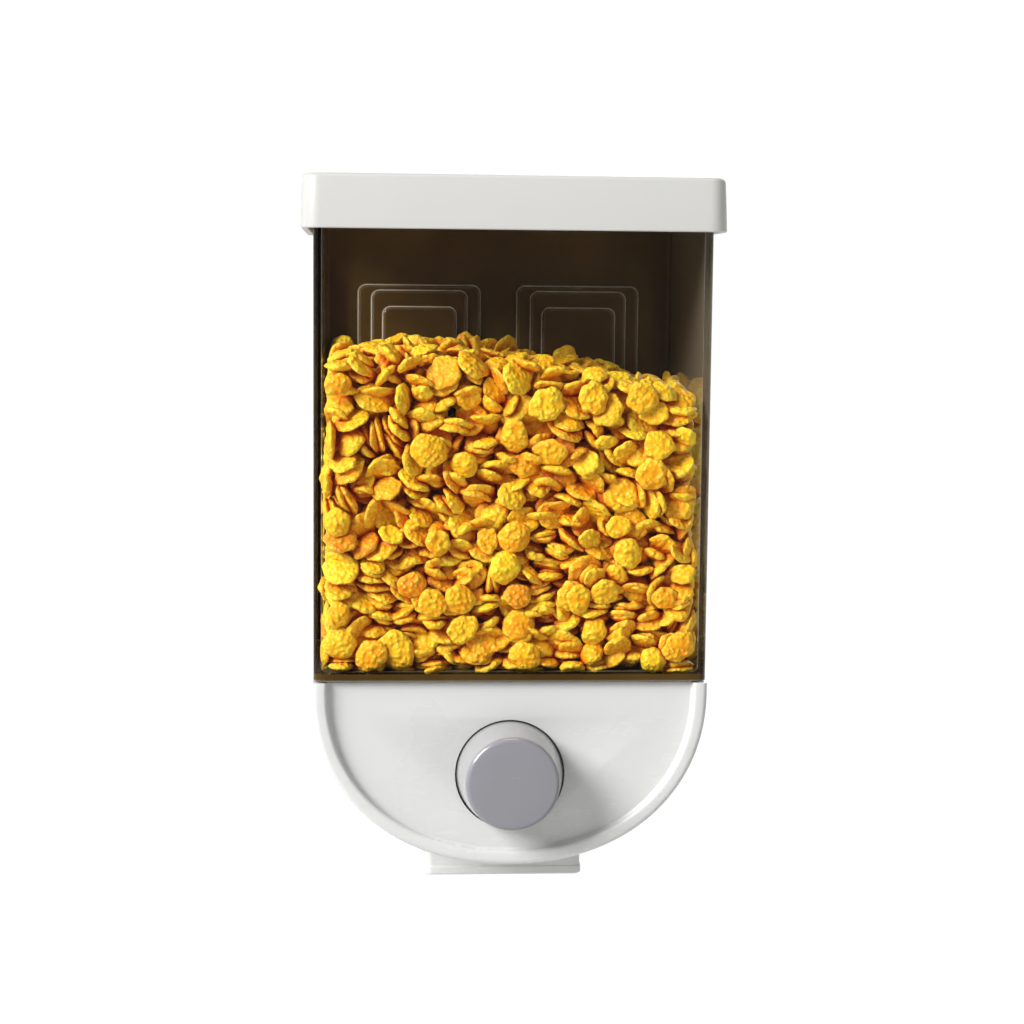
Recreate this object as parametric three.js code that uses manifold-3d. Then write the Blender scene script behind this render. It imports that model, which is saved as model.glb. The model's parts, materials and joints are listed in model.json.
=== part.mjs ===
// Wall-mounted cereal dispenser: a clear tank on a white U-shaped base with a push button.
//
// Units are millimetres. The wall is the plane y = 0, the dispenser stands out towards -y,
// and +z is up. The origin is on the wall, midway between the two adhesive hook pads.
// Depths inside the base are measured back from the front cover's face with back().

import * as THREE from 'three';
import { mergeVertices } from 'three/addons/utils/BufferGeometryUtils.js';
import Module from 'manifold-3d';

const wasm = await Module();
wasm.setup();

// ---------------------------------------------------------------- driving dimensions

const GAP = 0.3; // clearance between pieces that touch
const LOOSE = 0.4; // clearance round a boss or the spout in its hole
const PAST = 1; // how far a cutting solid runs past the face it cuts

// tank
const TANK_W = 122;
const TANK_D = 84;
const TANK_WALL = 2.5;
const TANK_BACK = -4.5;
const TANK_TOP = 50.9;
const TANK_BOTTOM = -101.2;
const TANK_RADIUS = 4;
const TANK_INNER_RADIUS = 2;
const MOUTH_RADIUS = 4; // of the opening in the tank's floor

// stepped pockets in the tank's back wall, one for each wall hook
const POCKET_PITCH = 53.8;
const POCKET_STEP = 1.8;
const POCKET_SKIN = 2;
const POCKET_RADIUS = 2.5;
const RECESS_RADIUS = 1;
const POCKET_LEVELS = [
  { half: 20.5, low: -20.5, high: 20.5 },
  { half: 16, low: -16, high: 18.7 },
  { half: 12.25, low: -13, high: 13.2 },
];
const BAR_LOW = 4;
const BAR_HIGH = 7.5;
const BAR_FRONT = -6.7;

// lid
const LID_W = 129.6;
const LID_D = 91.6;
const LID_TOP = 53.4;
const LID_BOTTOM = 37;
const LID_WALL = 2.2;
const LID_RADIUS = 6;
const LID_EDGE = 1.4;
const LID_TAPER = 0.6;
const LID_INNER_RADIUS = 4;
const PLUG_INSET = 2.3; // from the tank's inner wall to the plug
const PLUG_WALL = 1.8;
const PLUG_BOTTOM = 42;
const PLUG_RADIUS = 1;
const LIP_OUT = 1; // the lip under the gasket stands out from the plug
const LIP_H = 1.4;
const LIP_RADIUS = 1.5;
const GASKET_H = 3.5;
const GASKET_RADIUS = 1.7;
const GASKET_INNER_RADIUS = 1.2;

// base: straight sides, then a superelliptic curve
const WALL_GAP = -0.7;
const COVER_FACE = -89;
const COVER_TOP = TANK_BOTTOM - GAP;
const BASE_HALF = 61;
const BASE_STRAIGHT = 2.5;
const BASE_CURVE = 54.5;
const BASE_POWER = 2.15;
const CURVE_STEPS = 28;
const BASE_WALL = 2.2;
const COVER_DEPTH = 10;
const RIM = 4.3;
const DISH = 2.5;
const DISH_BORDER = 2; // a shallower step just inside the rim
const DISH_BORDER_RISE = 1.2;
const PANEL = 2.5;

// button and plunger
const BUTTON_Z = -130.4;
const BUTTON_OUT = 13;
const BUTTON_R_FACE = 14.25;
const BUTTON_R_BASE = 16.5;
const BUTTON_R_FLANGE = 18.5;
const BUTTON_HOLE_R = 17;
const BUTTON_BOSS_R = 4.5;
const BUTTON_SKIN = 2;
const BUTTON_SHOULDER = 2; // from the face to where the button's side begins
const CEILING = BUTTON_SKIN + 0.2; // from the face to the button's inner ceiling
const BOSS_END = 8;
const SOCKET_END = -6;
const SPIGOT_END = -5.5;
const SHAFT_END = 28;
const SHAFT_R = 3.5;
const SPIGOT_R = 2.4;
const FOOT_FRONT = 33.35;
const FOOT_LOW = -4.2; // from the shaft's axis; the foot meets only the arm's rounded tip
const FOOT_HIGH = -1;
const SPRING_R = 6.2;
const SPRING_WIRE = 0.5;
const SPRING_TURNS = 6;

// gate
const PIVOT_BACK = 38.5;
const PIVOT_Z = -143.9;
const PIN_R = 1.5;
const BARREL_R = 2.9;
const ARM_LENGTH = 11;
const ARM_TIP_R = 1.6;
const ARM_T = 2;
const ARM_HALF = 4;
const ARM_LEAN = 17.2; // degrees forward at rest; the button's full travel turns it as far back
const CHEEK_R = 3.4;
const CHEEK_TOP = 8; // above the pivot
const BARREL_HALF = 18.6;
const FLAP_HALF = 20.5;
const FLAP_TOP = -3.3;
const FLAP_T = 2;
const FLAP_FRONT = 3.8;
const FLAP_REAR = 31.3;
const PAD_HALF = 19.9;
const PAD_FRONT = 5.8;
const PAD_REAR = 30.8;
const PAD_H = 1.2;
const PIN_LEFT = -22.6;
const PIN_RIGHT = 22.3;
const PIN_HEAD_R = 2.4;
const PIN_HEAD_T = 1.2;
const CLIP_LEFT = -21.9;
const CLIP_RIGHT = -21.1;
const CLIP_R = 3.2;

// torsion spring round the gate's pin, in the room cut from the flap's barrel
const SPRING_ROOM = [-14, -7.5];
const COIL_START = -13;
const COIL_END = -8.6;
const COIL_R = 2.45;
const COIL_WIRE = 0.4;
const COIL_TURNS = 4;
const COIL_STEPS = 10;

// chute and funnel
const CHUTE_HALF = 19;
const CHUTE_FRONT = 46;
const CHUTE_REAR = 68;
const CHUTE_TOP = -130;
const CHUTE_BOTTOM = -145.4;
const CHUTE_WALL = 1.8;
const FUNNEL_HALF = 46;
const FUNNEL_FRONT = 8.5;
const FUNNEL_REAR = 78.5;
const FLANGE_T = 2;
const GUIDE_FRONT = 20;
const GUIDE_T = 3;
const GUIDE_HALF = 9;
const GUIDE_DROP = 7; // below the button's axis
const GUIDE_TOP = -110;
const FLANGE_HALF = 58.2;
const FLANGE_FRONT = 5.6;
const FLANGE_REAR = 84;
const FLANGE_RADIUS = 3;

// outlet spout
const SPOUT_HALF = 25.7;
const SPOUT_FRONT = 32.6;
const SPOUT_REAR = 73.2;
const SPOUT_WALL = 2;
const SPOUT_TOP = -141;
const SPOUT_BOTTOM = -170.3;
const SPOUT_RADIUS = 3;
const SPOUT_FLANGE = { half: 29.5, out: 3, low: -149.8, high: -148.2, radius: 4 };
const PORT_LOW = -165;
const PORT_HIGH = -149;

// screws
const TANK_SCREW_X = 52.5;
const TANK_SCREW_Y = [-74, -14];
const TANK_BOSS_R = 3.5;
const SHELF_T = 2;
const SHELF_INNER = 48.5; // the inner end of the shelf that each tank screw goes through
const SHELF_AHEAD = 4.7;
const SHELF_BEHIND = 5;
const COVER_SCREWS = [
  [53.3, -113.2],
  [38, -139],
];
const WELL_R = 4;
const WELL_BORE_R = 3;
const WELL_END = 16;
const SCREW_R = 1.5;
const TANK_SCREW = { headRadius: 4.6, headHeight: 2, length: 5.6 };
const COVER_SCREW = { headRadius: 2.6, headHeight: 2, length: 8 };
const CROSS_HALF = 0.4; // half the width of the cross recess
const CROSS_DEPTH = 0.55; // as a share of the head's height

// wall hooks
const HOOK_PLATE = 34;
const PAD_T = 1;
const PLATE_T = 2;
const TONGUE_HALF = 8;
const TONGUE_TOP = 10.4;
const TONGUE_LOW = -0.5;
const TONGUE_T = 1.8;
const PLATE_RADIUS = 2;

const CORNER_STEPS = 4;

// ---------------------------------------------------------------- solids

function back(depth) {
  return COVER_FACE + depth;
}

function signedVolume(position, index) {
  const a = new THREE.Vector3();
  const b = new THREE.Vector3();
  const c = new THREE.Vector3();
  let volume = 0;
  for (let i = 0; i < index.length; i += 3) {
    a.fromBufferAttribute(position, index[i]);
    b.fromBufferAttribute(position, index[i + 1]);
    c.fromBufferAttribute(position, index[i + 2]);
    volume += a.dot(b.cross(c));
  }
  return volume;
}

// A closed three.js geometry as a solid, with its faces turned outwards.
function solid(geometry) {
  const bare = geometry.clone();
  bare.deleteAttribute('normal');
  bare.deleteAttribute('uv');
  const merged = mergeVertices(bare, 1e-4);
  const all = merged.index.array;
  const faces = [];
  for (let i = 0; i < all.length; i += 3) {
    const [a, b, c] = [all[i], all[i + 1], all[i + 2]];
    if (a !== b && b !== c && c !== a) faces.push(a, b, c);
  }
  const position = merged.attributes.position;
  if (signedVolume(position, faces) < 0) faces.reverse();
  return new wasm.Manifold(new wasm.Mesh({
    numProp: 3,
    vertProperties: new Float32Array(position.array),
    triVerts: new Uint32Array(faces),
  }));
}

function join(first, ...others) {
  return others.reduce((sum, other) => sum.add(other), first);
}

function cut(first, ...others) {
  return others.reduce((rest, other) => rest.subtract(other), first);
}

function node(name, shape, look) {
  const cutMesh = shape.getMesh();
  const geometry = new THREE.BufferGeometry();
  const position = new THREE.BufferAttribute(new Float32Array(cutMesh.vertProperties), 3);
  geometry.setAttribute('position', position);
  geometry.setIndex(new THREE.BufferAttribute(new Uint32Array(cutMesh.triVerts), 1));
  geometry.computeVertexNormals();
  const mesh = new THREE.Mesh(geometry, new THREE.MeshStandardMaterial(look));
  mesh.name = name;
  return mesh;
}

function block(x0, x1, y0, y1, z0, z1) {
  const geometry = new THREE.BoxGeometry(x1 - x0, y1 - y0, z1 - z0);
  geometry.translate((x0 + x1) / 2, (y0 + y1) / 2, (z0 + z1) / 2);
  return solid(geometry);
}

// A rounded rectangle as a three.js shape.
function roundedRect(x0, x1, y0, y1, radius) {
  const shape = new THREE.Shape();
  shape.moveTo(x0 + radius, y0);
  shape.lineTo(x1 - radius, y0);
  shape.absarc(x1 - radius, y0 + radius, radius, -Math.PI / 2, 0);
  shape.lineTo(x1, y1 - radius);
  shape.absarc(x1 - radius, y1 - radius, radius, 0, Math.PI / 2);
  shape.lineTo(x0 + radius, y1);
  shape.absarc(x0 + radius, y1 - radius, radius, Math.PI / 2, Math.PI);
  shape.lineTo(x0, y0 + radius);
  shape.absarc(x0 + radius, y0 + radius, radius, Math.PI, Math.PI * 1.5);
  return shape;
}

function extruded(shape, depth, cornerSteps = CORNER_STEPS) {
  return new THREE.ExtrudeGeometry(shape, {
    depth,
    bevelEnabled: false,
    curveSegments: cornerSteps,
  });
}

// Extrudes an outline drawn in x and y from z0 up to z1.
function prismZ(shape, z0, z1) {
  return solid(extruded(shape, z1 - z0).translate(0, 0, z0));
}

// Extrudes an outline drawn in x and z from yBack forwards to yFront.
function prismY(shape, yFront, yBack, cornerSteps = CORNER_STEPS) {
  const geometry = extruded(shape, yBack - yFront, cornerSteps);
  return solid(geometry.rotateX(Math.PI / 2).translate(0, yBack, 0));
}

function rodY(x, z, radius, y0, y1, sides = 16) {
  const geometry = new THREE.CylinderGeometry(radius, radius, y1 - y0, sides);
  return solid(geometry.translate(x, (y0 + y1) / 2, z));
}

function rodZ(x, y, radius, z0, z1, sides = 16) {
  const geometry = new THREE.CylinderGeometry(radius, radius, z1 - z0, sides);
  return solid(geometry.rotateX(Math.PI / 2).translate(x, y, (z0 + z1) / 2));
}

function rodX(y, z, radius, x0, x1, sides = 16) {
  const geometry = new THREE.CylinderGeometry(radius, radius, x1 - x0, sides);
  return solid(geometry.rotateZ(Math.PI / 2).translate((x0 + x1) / 2, y, z));
}

// Turns a profile of [radius, y] points about the y axis.
function turned(profile, sides) {
  const points = profile.map(([radius, y]) => new THREE.Vector2(radius, y));
  return solid(new THREE.LatheGeometry(points, sides));
}

// Joins two rounded rectangles at different heights with straight walls.
function loft(low, high) {
  const rings = [low, high].map((level) => {
    const outline = roundedRect(-level.half, level.half, level.front, level.rear, level.radius);
    return outline.getPoints(CORNER_STEPS).slice(0, -1).map((p) => [p.x, p.y, level.z]);
  });
  const count = rings[0].length;
  const faces = [];
  for (let i = 0; i < count; i += 1) {
    const next = (i + 1) % count;
    faces.push(i, next, count + next);
    faces.push(i, count + next, count + i);
  }
  for (let i = 1; i < count - 1; i += 1) {
    faces.push(0, i + 1, i);
    faces.push(count, count + i, count + i + 1);
  }
  const geometry = new THREE.BufferGeometry();
  geometry.setAttribute('position', new THREE.Float32BufferAttribute(rings.flat(2), 3));
  geometry.setIndex(faces);
  return solid(geometry);
}

// A round wire along a curve.
function wire(curve, radius, steps, sides) {
  const section = new THREE.Shape();
  section.absarc(0, 0, radius, 0, Math.PI * 2);
  return solid(new THREE.ExtrudeGeometry(section, {
    steps,
    curveSegments: sides / 2,
    bevelEnabled: false,
    extrudePath: curve,
  }));
}

// The base's front outline, moved in by inset and running up to top.
function baseOutline(inset, top) {
  const half = BASE_HALF - inset;
  const drop = BASE_CURVE - inset;
  const start = COVER_TOP - BASE_STRAIGHT;
  const power = 2 / BASE_POWER;
  const shape = new THREE.Shape();
  shape.moveTo(half, top);
  shape.lineTo(-half, top);
  for (let i = 0; i <= CURVE_STEPS; i += 1) {
    const turn = (Math.PI * i) / CURVE_STEPS;
    const across = Math.abs(Math.cos(turn)) ** power * Math.sign(Math.cos(turn));
    const down = Math.abs(Math.sin(turn)) ** power;
    shape.lineTo(-half * across, start - drop * down);
  }
  shape.closePath();
  return shape;
}

// ---------------------------------------------------------------- looks

const WHITE = { color: 0xeeeeea, roughness: 0.35, metalness: 0 };
const GREY = { color: 0x9c9ba1, roughness: 0.4, metalness: 0 };
const CLEAR = { color: 0x6b6258, roughness: 0.08, metalness: 0, transparent: true, opacity: 0.35 };
const RUBBER = { color: 0xdedbd2, roughness: 0.7, metalness: 0 };
const NATURAL = { color: 0xe4e4df, roughness: 0.45, metalness: 0 };
const STEEL = { color: 0xb8b9bb, roughness: 0.3, metalness: 1 };
const FOAM = { color: 0xc9c9c4, roughness: 0.9, metalness: 0 };

// ---------------------------------------------------------------- wall mount

const SIDES = [
  { name: 'left', x: -POCKET_PITCH / 2 },
  { name: 'right', x: POCKET_PITCH / 2 },
];

function hookPad(name) {
  const half = HOOK_PLATE / 2;
  const outline = roundedRect(-half, half, -half, half, PLATE_RADIUS);
  return node(name, prismY(outline, -PAD_T, 0, 2), FOAM);
}

// A square plate with a tongue that rises behind the bar of the tank's pocket.
function wallHook(name) {
  const half = HOOK_PLATE / 2;
  const plateBack = -PAD_T - GAP;
  const plateFront = plateBack - PLATE_T;
  const tongueBack = BAR_FRONT - LOOSE;
  const tongueFront = tongueBack - TONGUE_T;
  const neckTop = BAR_LOW - GAP;
  const wide = TONGUE_HALF;
  const outline = roundedRect(-half, half, -half, half, PLATE_RADIUS);
  const plate = prismY(outline, plateFront, plateBack, 2);
  const neck = block(-wide, wide, tongueFront, plateBack - PLATE_T / 2, TONGUE_LOW, neckTop);
  const tongue = block(-wide, wide, tongueFront, tongueBack, TONGUE_LOW, TONGUE_TOP);
  return node(name, join(plate, neck, tongue), CLEAR);
}

// ---------------------------------------------------------------- tank

function pocketSteps() {
  const innerFace = TANK_BACK - TANK_WALL;
  const blocks = [];
  const recesses = [];
  POCKET_LEVELS.forEach(({ half, low, high }, level) => {
    const depth = POCKET_STEP * (level + 1);
    const skin = POCKET_SKIN;
    const outside = roundedRect(-half, half, low, high, POCKET_RADIUS);
    const inside = roundedRect(
      -half + skin,
      half - skin,
      low + skin,
      high - skin,
      RECESS_RADIUS,
    );
    blocks.push(prismY(outside, innerFace - depth, TANK_BACK - 1, 2));
    recesses.push(prismY(inside, TANK_BACK - depth, TANK_BACK + PAST, 1));
  });
  const reach = POCKET_LEVELS[0].half - POCKET_SKIN + 0.2;
  const bar = block(-reach, reach, BAR_FRONT, TANK_BACK, BAR_LOW, BAR_HIGH);
  return { raised: join(...blocks), recess: join(...recesses), bar };
}

// The opening in the tank's floor and in the hopper's flange below it.
function floorOpening() {
  const [front, rear] = [back(FUNNEL_FRONT), back(FUNNEL_REAR)];
  return roundedRect(-FUNNEL_HALF, FUNNEL_HALF, front, rear, MOUTH_RADIUS);
}

function container() {
  const half = TANK_W / 2;
  const front = TANK_BACK - TANK_D;
  const floorTop = TANK_BOTTOM + TANK_WALL;
  const outside = roundedRect(-half, half, front, TANK_BACK, TANK_RADIUS);
  let shape = cut(
    prismZ(outside, TANK_BOTTOM, TANK_TOP),
    prismZ(mouthRing(0, TANK_INNER_RADIUS), floorTop, TANK_TOP + PAST),
    prismZ(floorOpening(), TANK_BOTTOM - PAST, floorTop + PAST),
  );
  const bossBottom = COVER_TOP - FLANGE_T - GAP - SHELF_T + 0.2;
  for (const x of [-TANK_SCREW_X, TANK_SCREW_X]) {
    for (const y of TANK_SCREW_Y) {
      shape = join(shape, rodZ(x, y, TANK_BOSS_R, bossBottom, TANK_BOTTOM + 1));
      const boreTop = TANK_BOTTOM + 1.5;
      shape = cut(shape, rodZ(x, y, SCREW_R + GAP, bossBottom - PAST, boreTop, 12));
    }
  }
  const pocket = pocketSteps();
  for (const { x } of SIDES) {
    shape = join(shape, pocket.raised.translate([x, 0, 0]));
    shape = cut(shape, pocket.recess.translate([x, 0, 0]));
    shape = join(shape, pocket.bar.translate([x, 0, 0]));
  }
  return node('container', shape, CLEAR);
}

// ---------------------------------------------------------------- lid

function lid() {
  const half = LID_W / 2;
  const front = WALL_GAP - LID_D;
  const edge = LID_EDGE;
  const height = LID_TOP - LID_BOTTOM;
  const outline = roundedRect(
    -half + edge,
    half - edge,
    front + edge,
    WALL_GAP - edge,
    LID_RADIUS - edge,
  );
  const skin = new THREE.ExtrudeGeometry(outline, {
    depth: height,
    bevelThickness: edge,
    bevelSize: edge,
    bevelSegments: 2,
    curveSegments: CORNER_STEPS,
  });
  skin.translate(0, 0, LID_BOTTOM - edge);
  const centreY = WALL_GAP - LID_D / 2;
  const points = skin.attributes.position;
  for (let i = 0; i < points.count; i += 1) {
    const rise = Math.max(0, (points.getZ(i) - LID_BOTTOM) / height);
    points.setX(i, points.getX(i) * (1 - (LID_TAPER * rise) / half));
    points.setY(i, centreY + (points.getY(i) - centreY) * (1 - (LID_TAPER * rise) / (LID_D / 2)));
  }
  const wall = LID_WALL;
  const hollow = roundedRect(
    -half + wall,
    half - wall,
    front + wall,
    WALL_GAP - wall,
    LID_INNER_RADIUS,
  );
  const below = block(-half - 1, half + 1, front - 1, 1, LID_BOTTOM - 5, LID_BOTTOM);
  const top = block(-half - 1, half + 1, front - 1, 1, LID_TOP, LID_TOP + 5);
  let shape = cut(solid(skin), below, top, prismZ(hollow, LID_BOTTOM - PAST, LID_TOP - wall));
  const plug = cut(
    prismZ(mouthRing(PLUG_INSET, PLUG_RADIUS), PLUG_BOTTOM, LID_TOP - wall + 0.5),
    prismZ(mouthRing(PLUG_INSET + PLUG_WALL, PLUG_RADIUS), PLUG_BOTTOM - PAST, LID_TOP - wall),
  );
  const lip = cut(
    prismZ(mouthRing(PLUG_INSET - LIP_OUT, LIP_RADIUS), PLUG_BOTTOM, PLUG_BOTTOM + LIP_H),
    prismZ(mouthRing(PLUG_INSET + PLUG_WALL, PLUG_RADIUS), PLUG_BOTTOM - PAST, LID_TOP),
  );
  shape = join(shape, plug, lip);
  return node('lid', shape, WHITE);
}

// The tank's inner outline, moved in by inset.
function mouthRing(inset, radius) {
  const side = TANK_WALL + inset;
  const half = TANK_W / 2 - side;
  return roundedRect(-half, half, TANK_BACK - TANK_D + side, TANK_BACK - side, radius);
}

function lidGasket() {
  const low = PLUG_BOTTOM + LIP_H + GAP;
  const high = low + GASKET_H;
  const shape = cut(
    prismZ(mouthRing(GAP, GASKET_RADIUS), low, high),
    prismZ(mouthRing(PLUG_INSET - GAP, GASKET_INNER_RADIUS), low - PAST, high + PAST),
  );
  return node('lid_gasket', shape, RUBBER);
}

// ---------------------------------------------------------------- hopper

function hopper() {
  const flangeTop = COVER_TOP;
  const flangeBottom = flangeTop - FLANGE_T;
  const chuteOut = CHUTE_HALF + CHUTE_WALL;
  const rim = roundedRect(
    -FLANGE_HALF,
    FLANGE_HALF,
    back(FLANGE_FRONT),
    back(FLANGE_REAR),
    FLANGE_RADIUS,
  );
  const flange = prismZ(rim, flangeBottom, flangeTop);
  const outside = loft(
    funnelRing(CHUTE_TOP, 0, CHUTE_WALL, 1.5),
    funnelRing(flangeBottom + 0.5, 1, CHUTE_WALL, MOUTH_RADIUS + 1),
  );
  const inside = loft(
    funnelRing(CHUTE_TOP - 0.01, 0, 0, 1),
    funnelRing(flangeBottom, 1, 0, MOUTH_RADIUS),
  );
  const chute = block(
    -chuteOut,
    chuteOut,
    back(CHUTE_FRONT - CHUTE_WALL),
    back(CHUTE_REAR + CHUTE_WALL),
    CHUTE_BOTTOM,
    CHUTE_TOP + 0.5,
  );
  const bore = block(
    -CHUTE_HALF,
    CHUTE_HALF,
    back(CHUTE_FRONT),
    back(CHUTE_REAR),
    CHUTE_BOTTOM - PAST,
    CHUTE_TOP + 0.01,
  );
  const guideBack = GUIDE_FRONT + GUIDE_T;
  const guide = block(
    -GUIDE_HALF,
    GUIDE_HALF,
    back(GUIDE_FRONT),
    back(guideBack),
    BUTTON_Z - GUIDE_DROP,
    GUIDE_TOP,
  );
  let shape = join(flange, outside, chute, guide, ...cheeks());
  shape = cut(shape, inside, bore, prismZ(floorOpening(), flangeBottom, flangeTop + PAST));
  shape = cut(
    shape,
    rodY(0, BUTTON_Z, SHAFT_R + GAP, back(GUIDE_FRONT - PAST), back(guideBack + PAST), 20),
    rodX(back(PIVOT_BACK), PIVOT_Z, PIN_R + GAP, -30, 30),
  );
  for (const x of [-TANK_SCREW_X, TANK_SCREW_X]) {
    for (const y of TANK_SCREW_Y) {
      const radius = TANK_BOSS_R + LOOSE;
      shape = cut(shape, rodZ(x, y, radius, flangeBottom - PAST, flangeTop + PAST));
    }
  }
  return node('hopper', shape, NATURAL);
}

// One level of the funnel: share is 0 at the chute and 1 at the tank.
function funnelRing(z, share, wall, radius) {
  const at = (low, high) => low + (high - low) * share;
  return {
    z,
    radius,
    half: at(CHUTE_HALF, FUNNEL_HALF) + wall,
    front: back(at(CHUTE_FRONT, FUNNEL_FRONT) - wall),
    rear: back(at(CHUTE_REAR, FUNNEL_REAR) + wall),
  };
}

// The two ears in front of the chute that hold the gate's pin.
function cheeks() {
  const top = PIVOT_Z + CHEEK_TOP;
  return [-1, 1].map((side) => {
    const inner = side * CHUTE_HALF;
    const outer = side * (CHUTE_HALF + CHUTE_WALL);
    const x0 = Math.min(inner, outer);
    const x1 = Math.max(inner, outer);
    const front = back(PIVOT_BACK - CHEEK_R);
    const ear = block(x0, x1, front, back(CHUTE_FRONT), PIVOT_Z, top);
    const web = block(x0, x1, back(PIVOT_BACK), back(CHUTE_FRONT), CHUTE_BOTTOM, top);
    return join(ear, web, rodX(back(PIVOT_BACK), PIVOT_Z, CHEEK_R, x0, x1, 24));
  });
}

// ---------------------------------------------------------------- base

function baseHousing() {
  const front = back(COVER_DEPTH + GAP);
  const shelfTop = COVER_TOP - FLANGE_T - GAP;
  const shelfBottom = shelfTop - SHELF_T;
  const inner = baseOutline(BASE_WALL, COVER_TOP + 5);
  let shape = prismY(baseOutline(0, COVER_TOP), front, WALL_GAP);
  shape = cut(shape, prismY(inner, front - PAST, WALL_GAP - BASE_WALL));
  const clip = prismY(baseOutline(0.5, COVER_TOP), front, WALL_GAP - 1); // half-way into the wall
  for (const side of [-1, 1]) {
    for (const y of TANK_SCREW_Y) {
      const x0 = side > 0 ? SHELF_INNER : -BASE_HALF;
      const x1 = side > 0 ? BASE_HALF : -SHELF_INNER;
      const shelf = block(x0, x1, y - SHELF_AHEAD, y + SHELF_BEHIND, shelfBottom, shelfTop);
      const radius = TANK_BOSS_R + LOOSE;
      const hole = rodZ(side * TANK_SCREW_X, y, radius, shelfBottom - PAST, shelfTop + PAST);
      shape = join(shape, cut(shelf.intersect(clip), hole));
    }
    for (const [x, z] of COVER_SCREWS) {
      const well = rodY(side * x, z, WELL_R, back(WELL_END - 2), WALL_GAP - 1);
      const bore = rodY(side * x, z, WELL_BORE_R, back(WELL_END), WALL_GAP + PAST);
      const [holeFront, holeRear] = [back(WELL_END - 2 - PAST), back(WELL_END + PAST)];
      const hole = rodY(side * x, z, SCREW_R + GAP, holeFront, holeRear, 12);
      shape = cut(join(shape, well), bore, hole);
    }
  }
  const port = block(
    -SPOUT_HALF - LOOSE,
    SPOUT_HALF + LOOSE,
    back(SPOUT_FRONT - LOOSE),
    back(SPOUT_REAR + LOOSE),
    PORT_LOW,
    PORT_HIGH,
  );
  return node('base_housing', cut(shape, port), WHITE);
}

function frontCover() {
  const rear = back(COVER_DEPTH);
  const panelRear = back(DISH + PANEL);
  let shape = prismY(baseOutline(0, COVER_TOP), COVER_FACE, rear);
  shape = cut(
    shape,
    prismY(baseOutline(RIM, COVER_TOP + 5), COVER_FACE - PAST, back(DISH - DISH_BORDER_RISE)),
    prismY(baseOutline(RIM + DISH_BORDER, COVER_TOP + 5), COVER_FACE - PAST, back(DISH)),
    prismY(baseOutline(BASE_WALL, COVER_TOP + 5), panelRear, rear + PAST),
  );
  for (const side of [-1, 1]) {
    for (const [x, z] of COVER_SCREWS) {
      const bossRear = back(WELL_END - 2 - GAP);
      const boss = rodY(side * x, z, WELL_R - GAP, panelRear - 1, bossRear);
      shape = cut(join(shape, boss), rodY(side * x, z, SCREW_R + GAP, panelRear + 1, rear + 9, 12));
    }
  }
  const hole = rodY(0, BUTTON_Z, BUTTON_HOLE_R, COVER_FACE - PAST, panelRear + PAST, 40);
  return node('front_cover', cut(shape, hole), WHITE);
}

function outletSpout() {
  const outside = roundedRect(
    -SPOUT_HALF,
    SPOUT_HALF,
    back(SPOUT_FRONT),
    back(SPOUT_REAR),
    SPOUT_RADIUS,
  );
  const inside = roundedRect(
    -SPOUT_HALF + SPOUT_WALL,
    SPOUT_HALF - SPOUT_WALL,
    back(SPOUT_FRONT + SPOUT_WALL),
    back(SPOUT_REAR - SPOUT_WALL),
    SPOUT_RADIUS - SPOUT_WALL,
  );
  const { half, out, low, high, radius } = SPOUT_FLANGE;
  const flange = roundedRect(
    -half,
    half,
    back(SPOUT_FRONT - out),
    back(SPOUT_REAR + out),
    radius,
  );
  const shape = cut(
    join(prismZ(outside, SPOUT_BOTTOM, SPOUT_TOP), prismZ(flange, low, high)),
    prismZ(inside, SPOUT_BOTTOM - PAST, SPOUT_TOP + PAST),
  );
  return node('outlet_spout', shape, WHITE);
}

// ---------------------------------------------------------------- screws

// A pan-head screw that points up the y axis, with a cross recess in its head.
function screw(name, { headRadius, headHeight, length }) {
  const profile = [
    [0, -headHeight],
    [headRadius * 0.6, -headHeight],
    [headRadius, -headHeight * 0.45],
    [headRadius, 0],
    [SCREW_R, 0],
    [SCREW_R, length - 1],
    [0.5, length],
    [0, length],
  ];
  const reach = headRadius * 0.45;
  const wide = CROSS_HALF;
  const bottom = -headHeight * (1 - CROSS_DEPTH);
  const slotX = block(-reach, reach, -headHeight - PAST, bottom, -wide, wide);
  const slotZ = block(-wide, wide, -headHeight - PAST, bottom, -reach, reach);
  return node(name, cut(turned(profile, 12), slotX, slotZ), STEEL);
}

function containerScrews() {
  const screws = new THREE.Group();
  const underShelf = COVER_TOP - FLANGE_T - GAP - SHELF_T - GAP;
  let number = 1;
  for (const x of [-TANK_SCREW_X, TANK_SCREW_X]) {
    for (const y of TANK_SCREW_Y) {
      const mesh = screw(`container_screw_${number}`, TANK_SCREW);
      mesh.rotation.x = Math.PI / 2;
      mesh.position.set(x, y, underShelf);
      screws.add(mesh);
      number += 1;
    }
  }
  return screws;
}

function coverScrews() {
  const screws = new THREE.Group();
  let number = 1;
  for (const side of [-1, 1]) {
    for (const [x, z] of COVER_SCREWS) {
      const mesh = screw(`cover_screw_${number}`, COVER_SCREW);
      mesh.rotation.z = Math.PI;
      mesh.position.set(side * x, back(WELL_END) + GAP, z);
      screws.add(mesh);
      number += 1;
    }
  }
  return screws;
}

// ---------------------------------------------------------------- button
// Modelled about the button's axis, with y = 0 at the cover's face.

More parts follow.
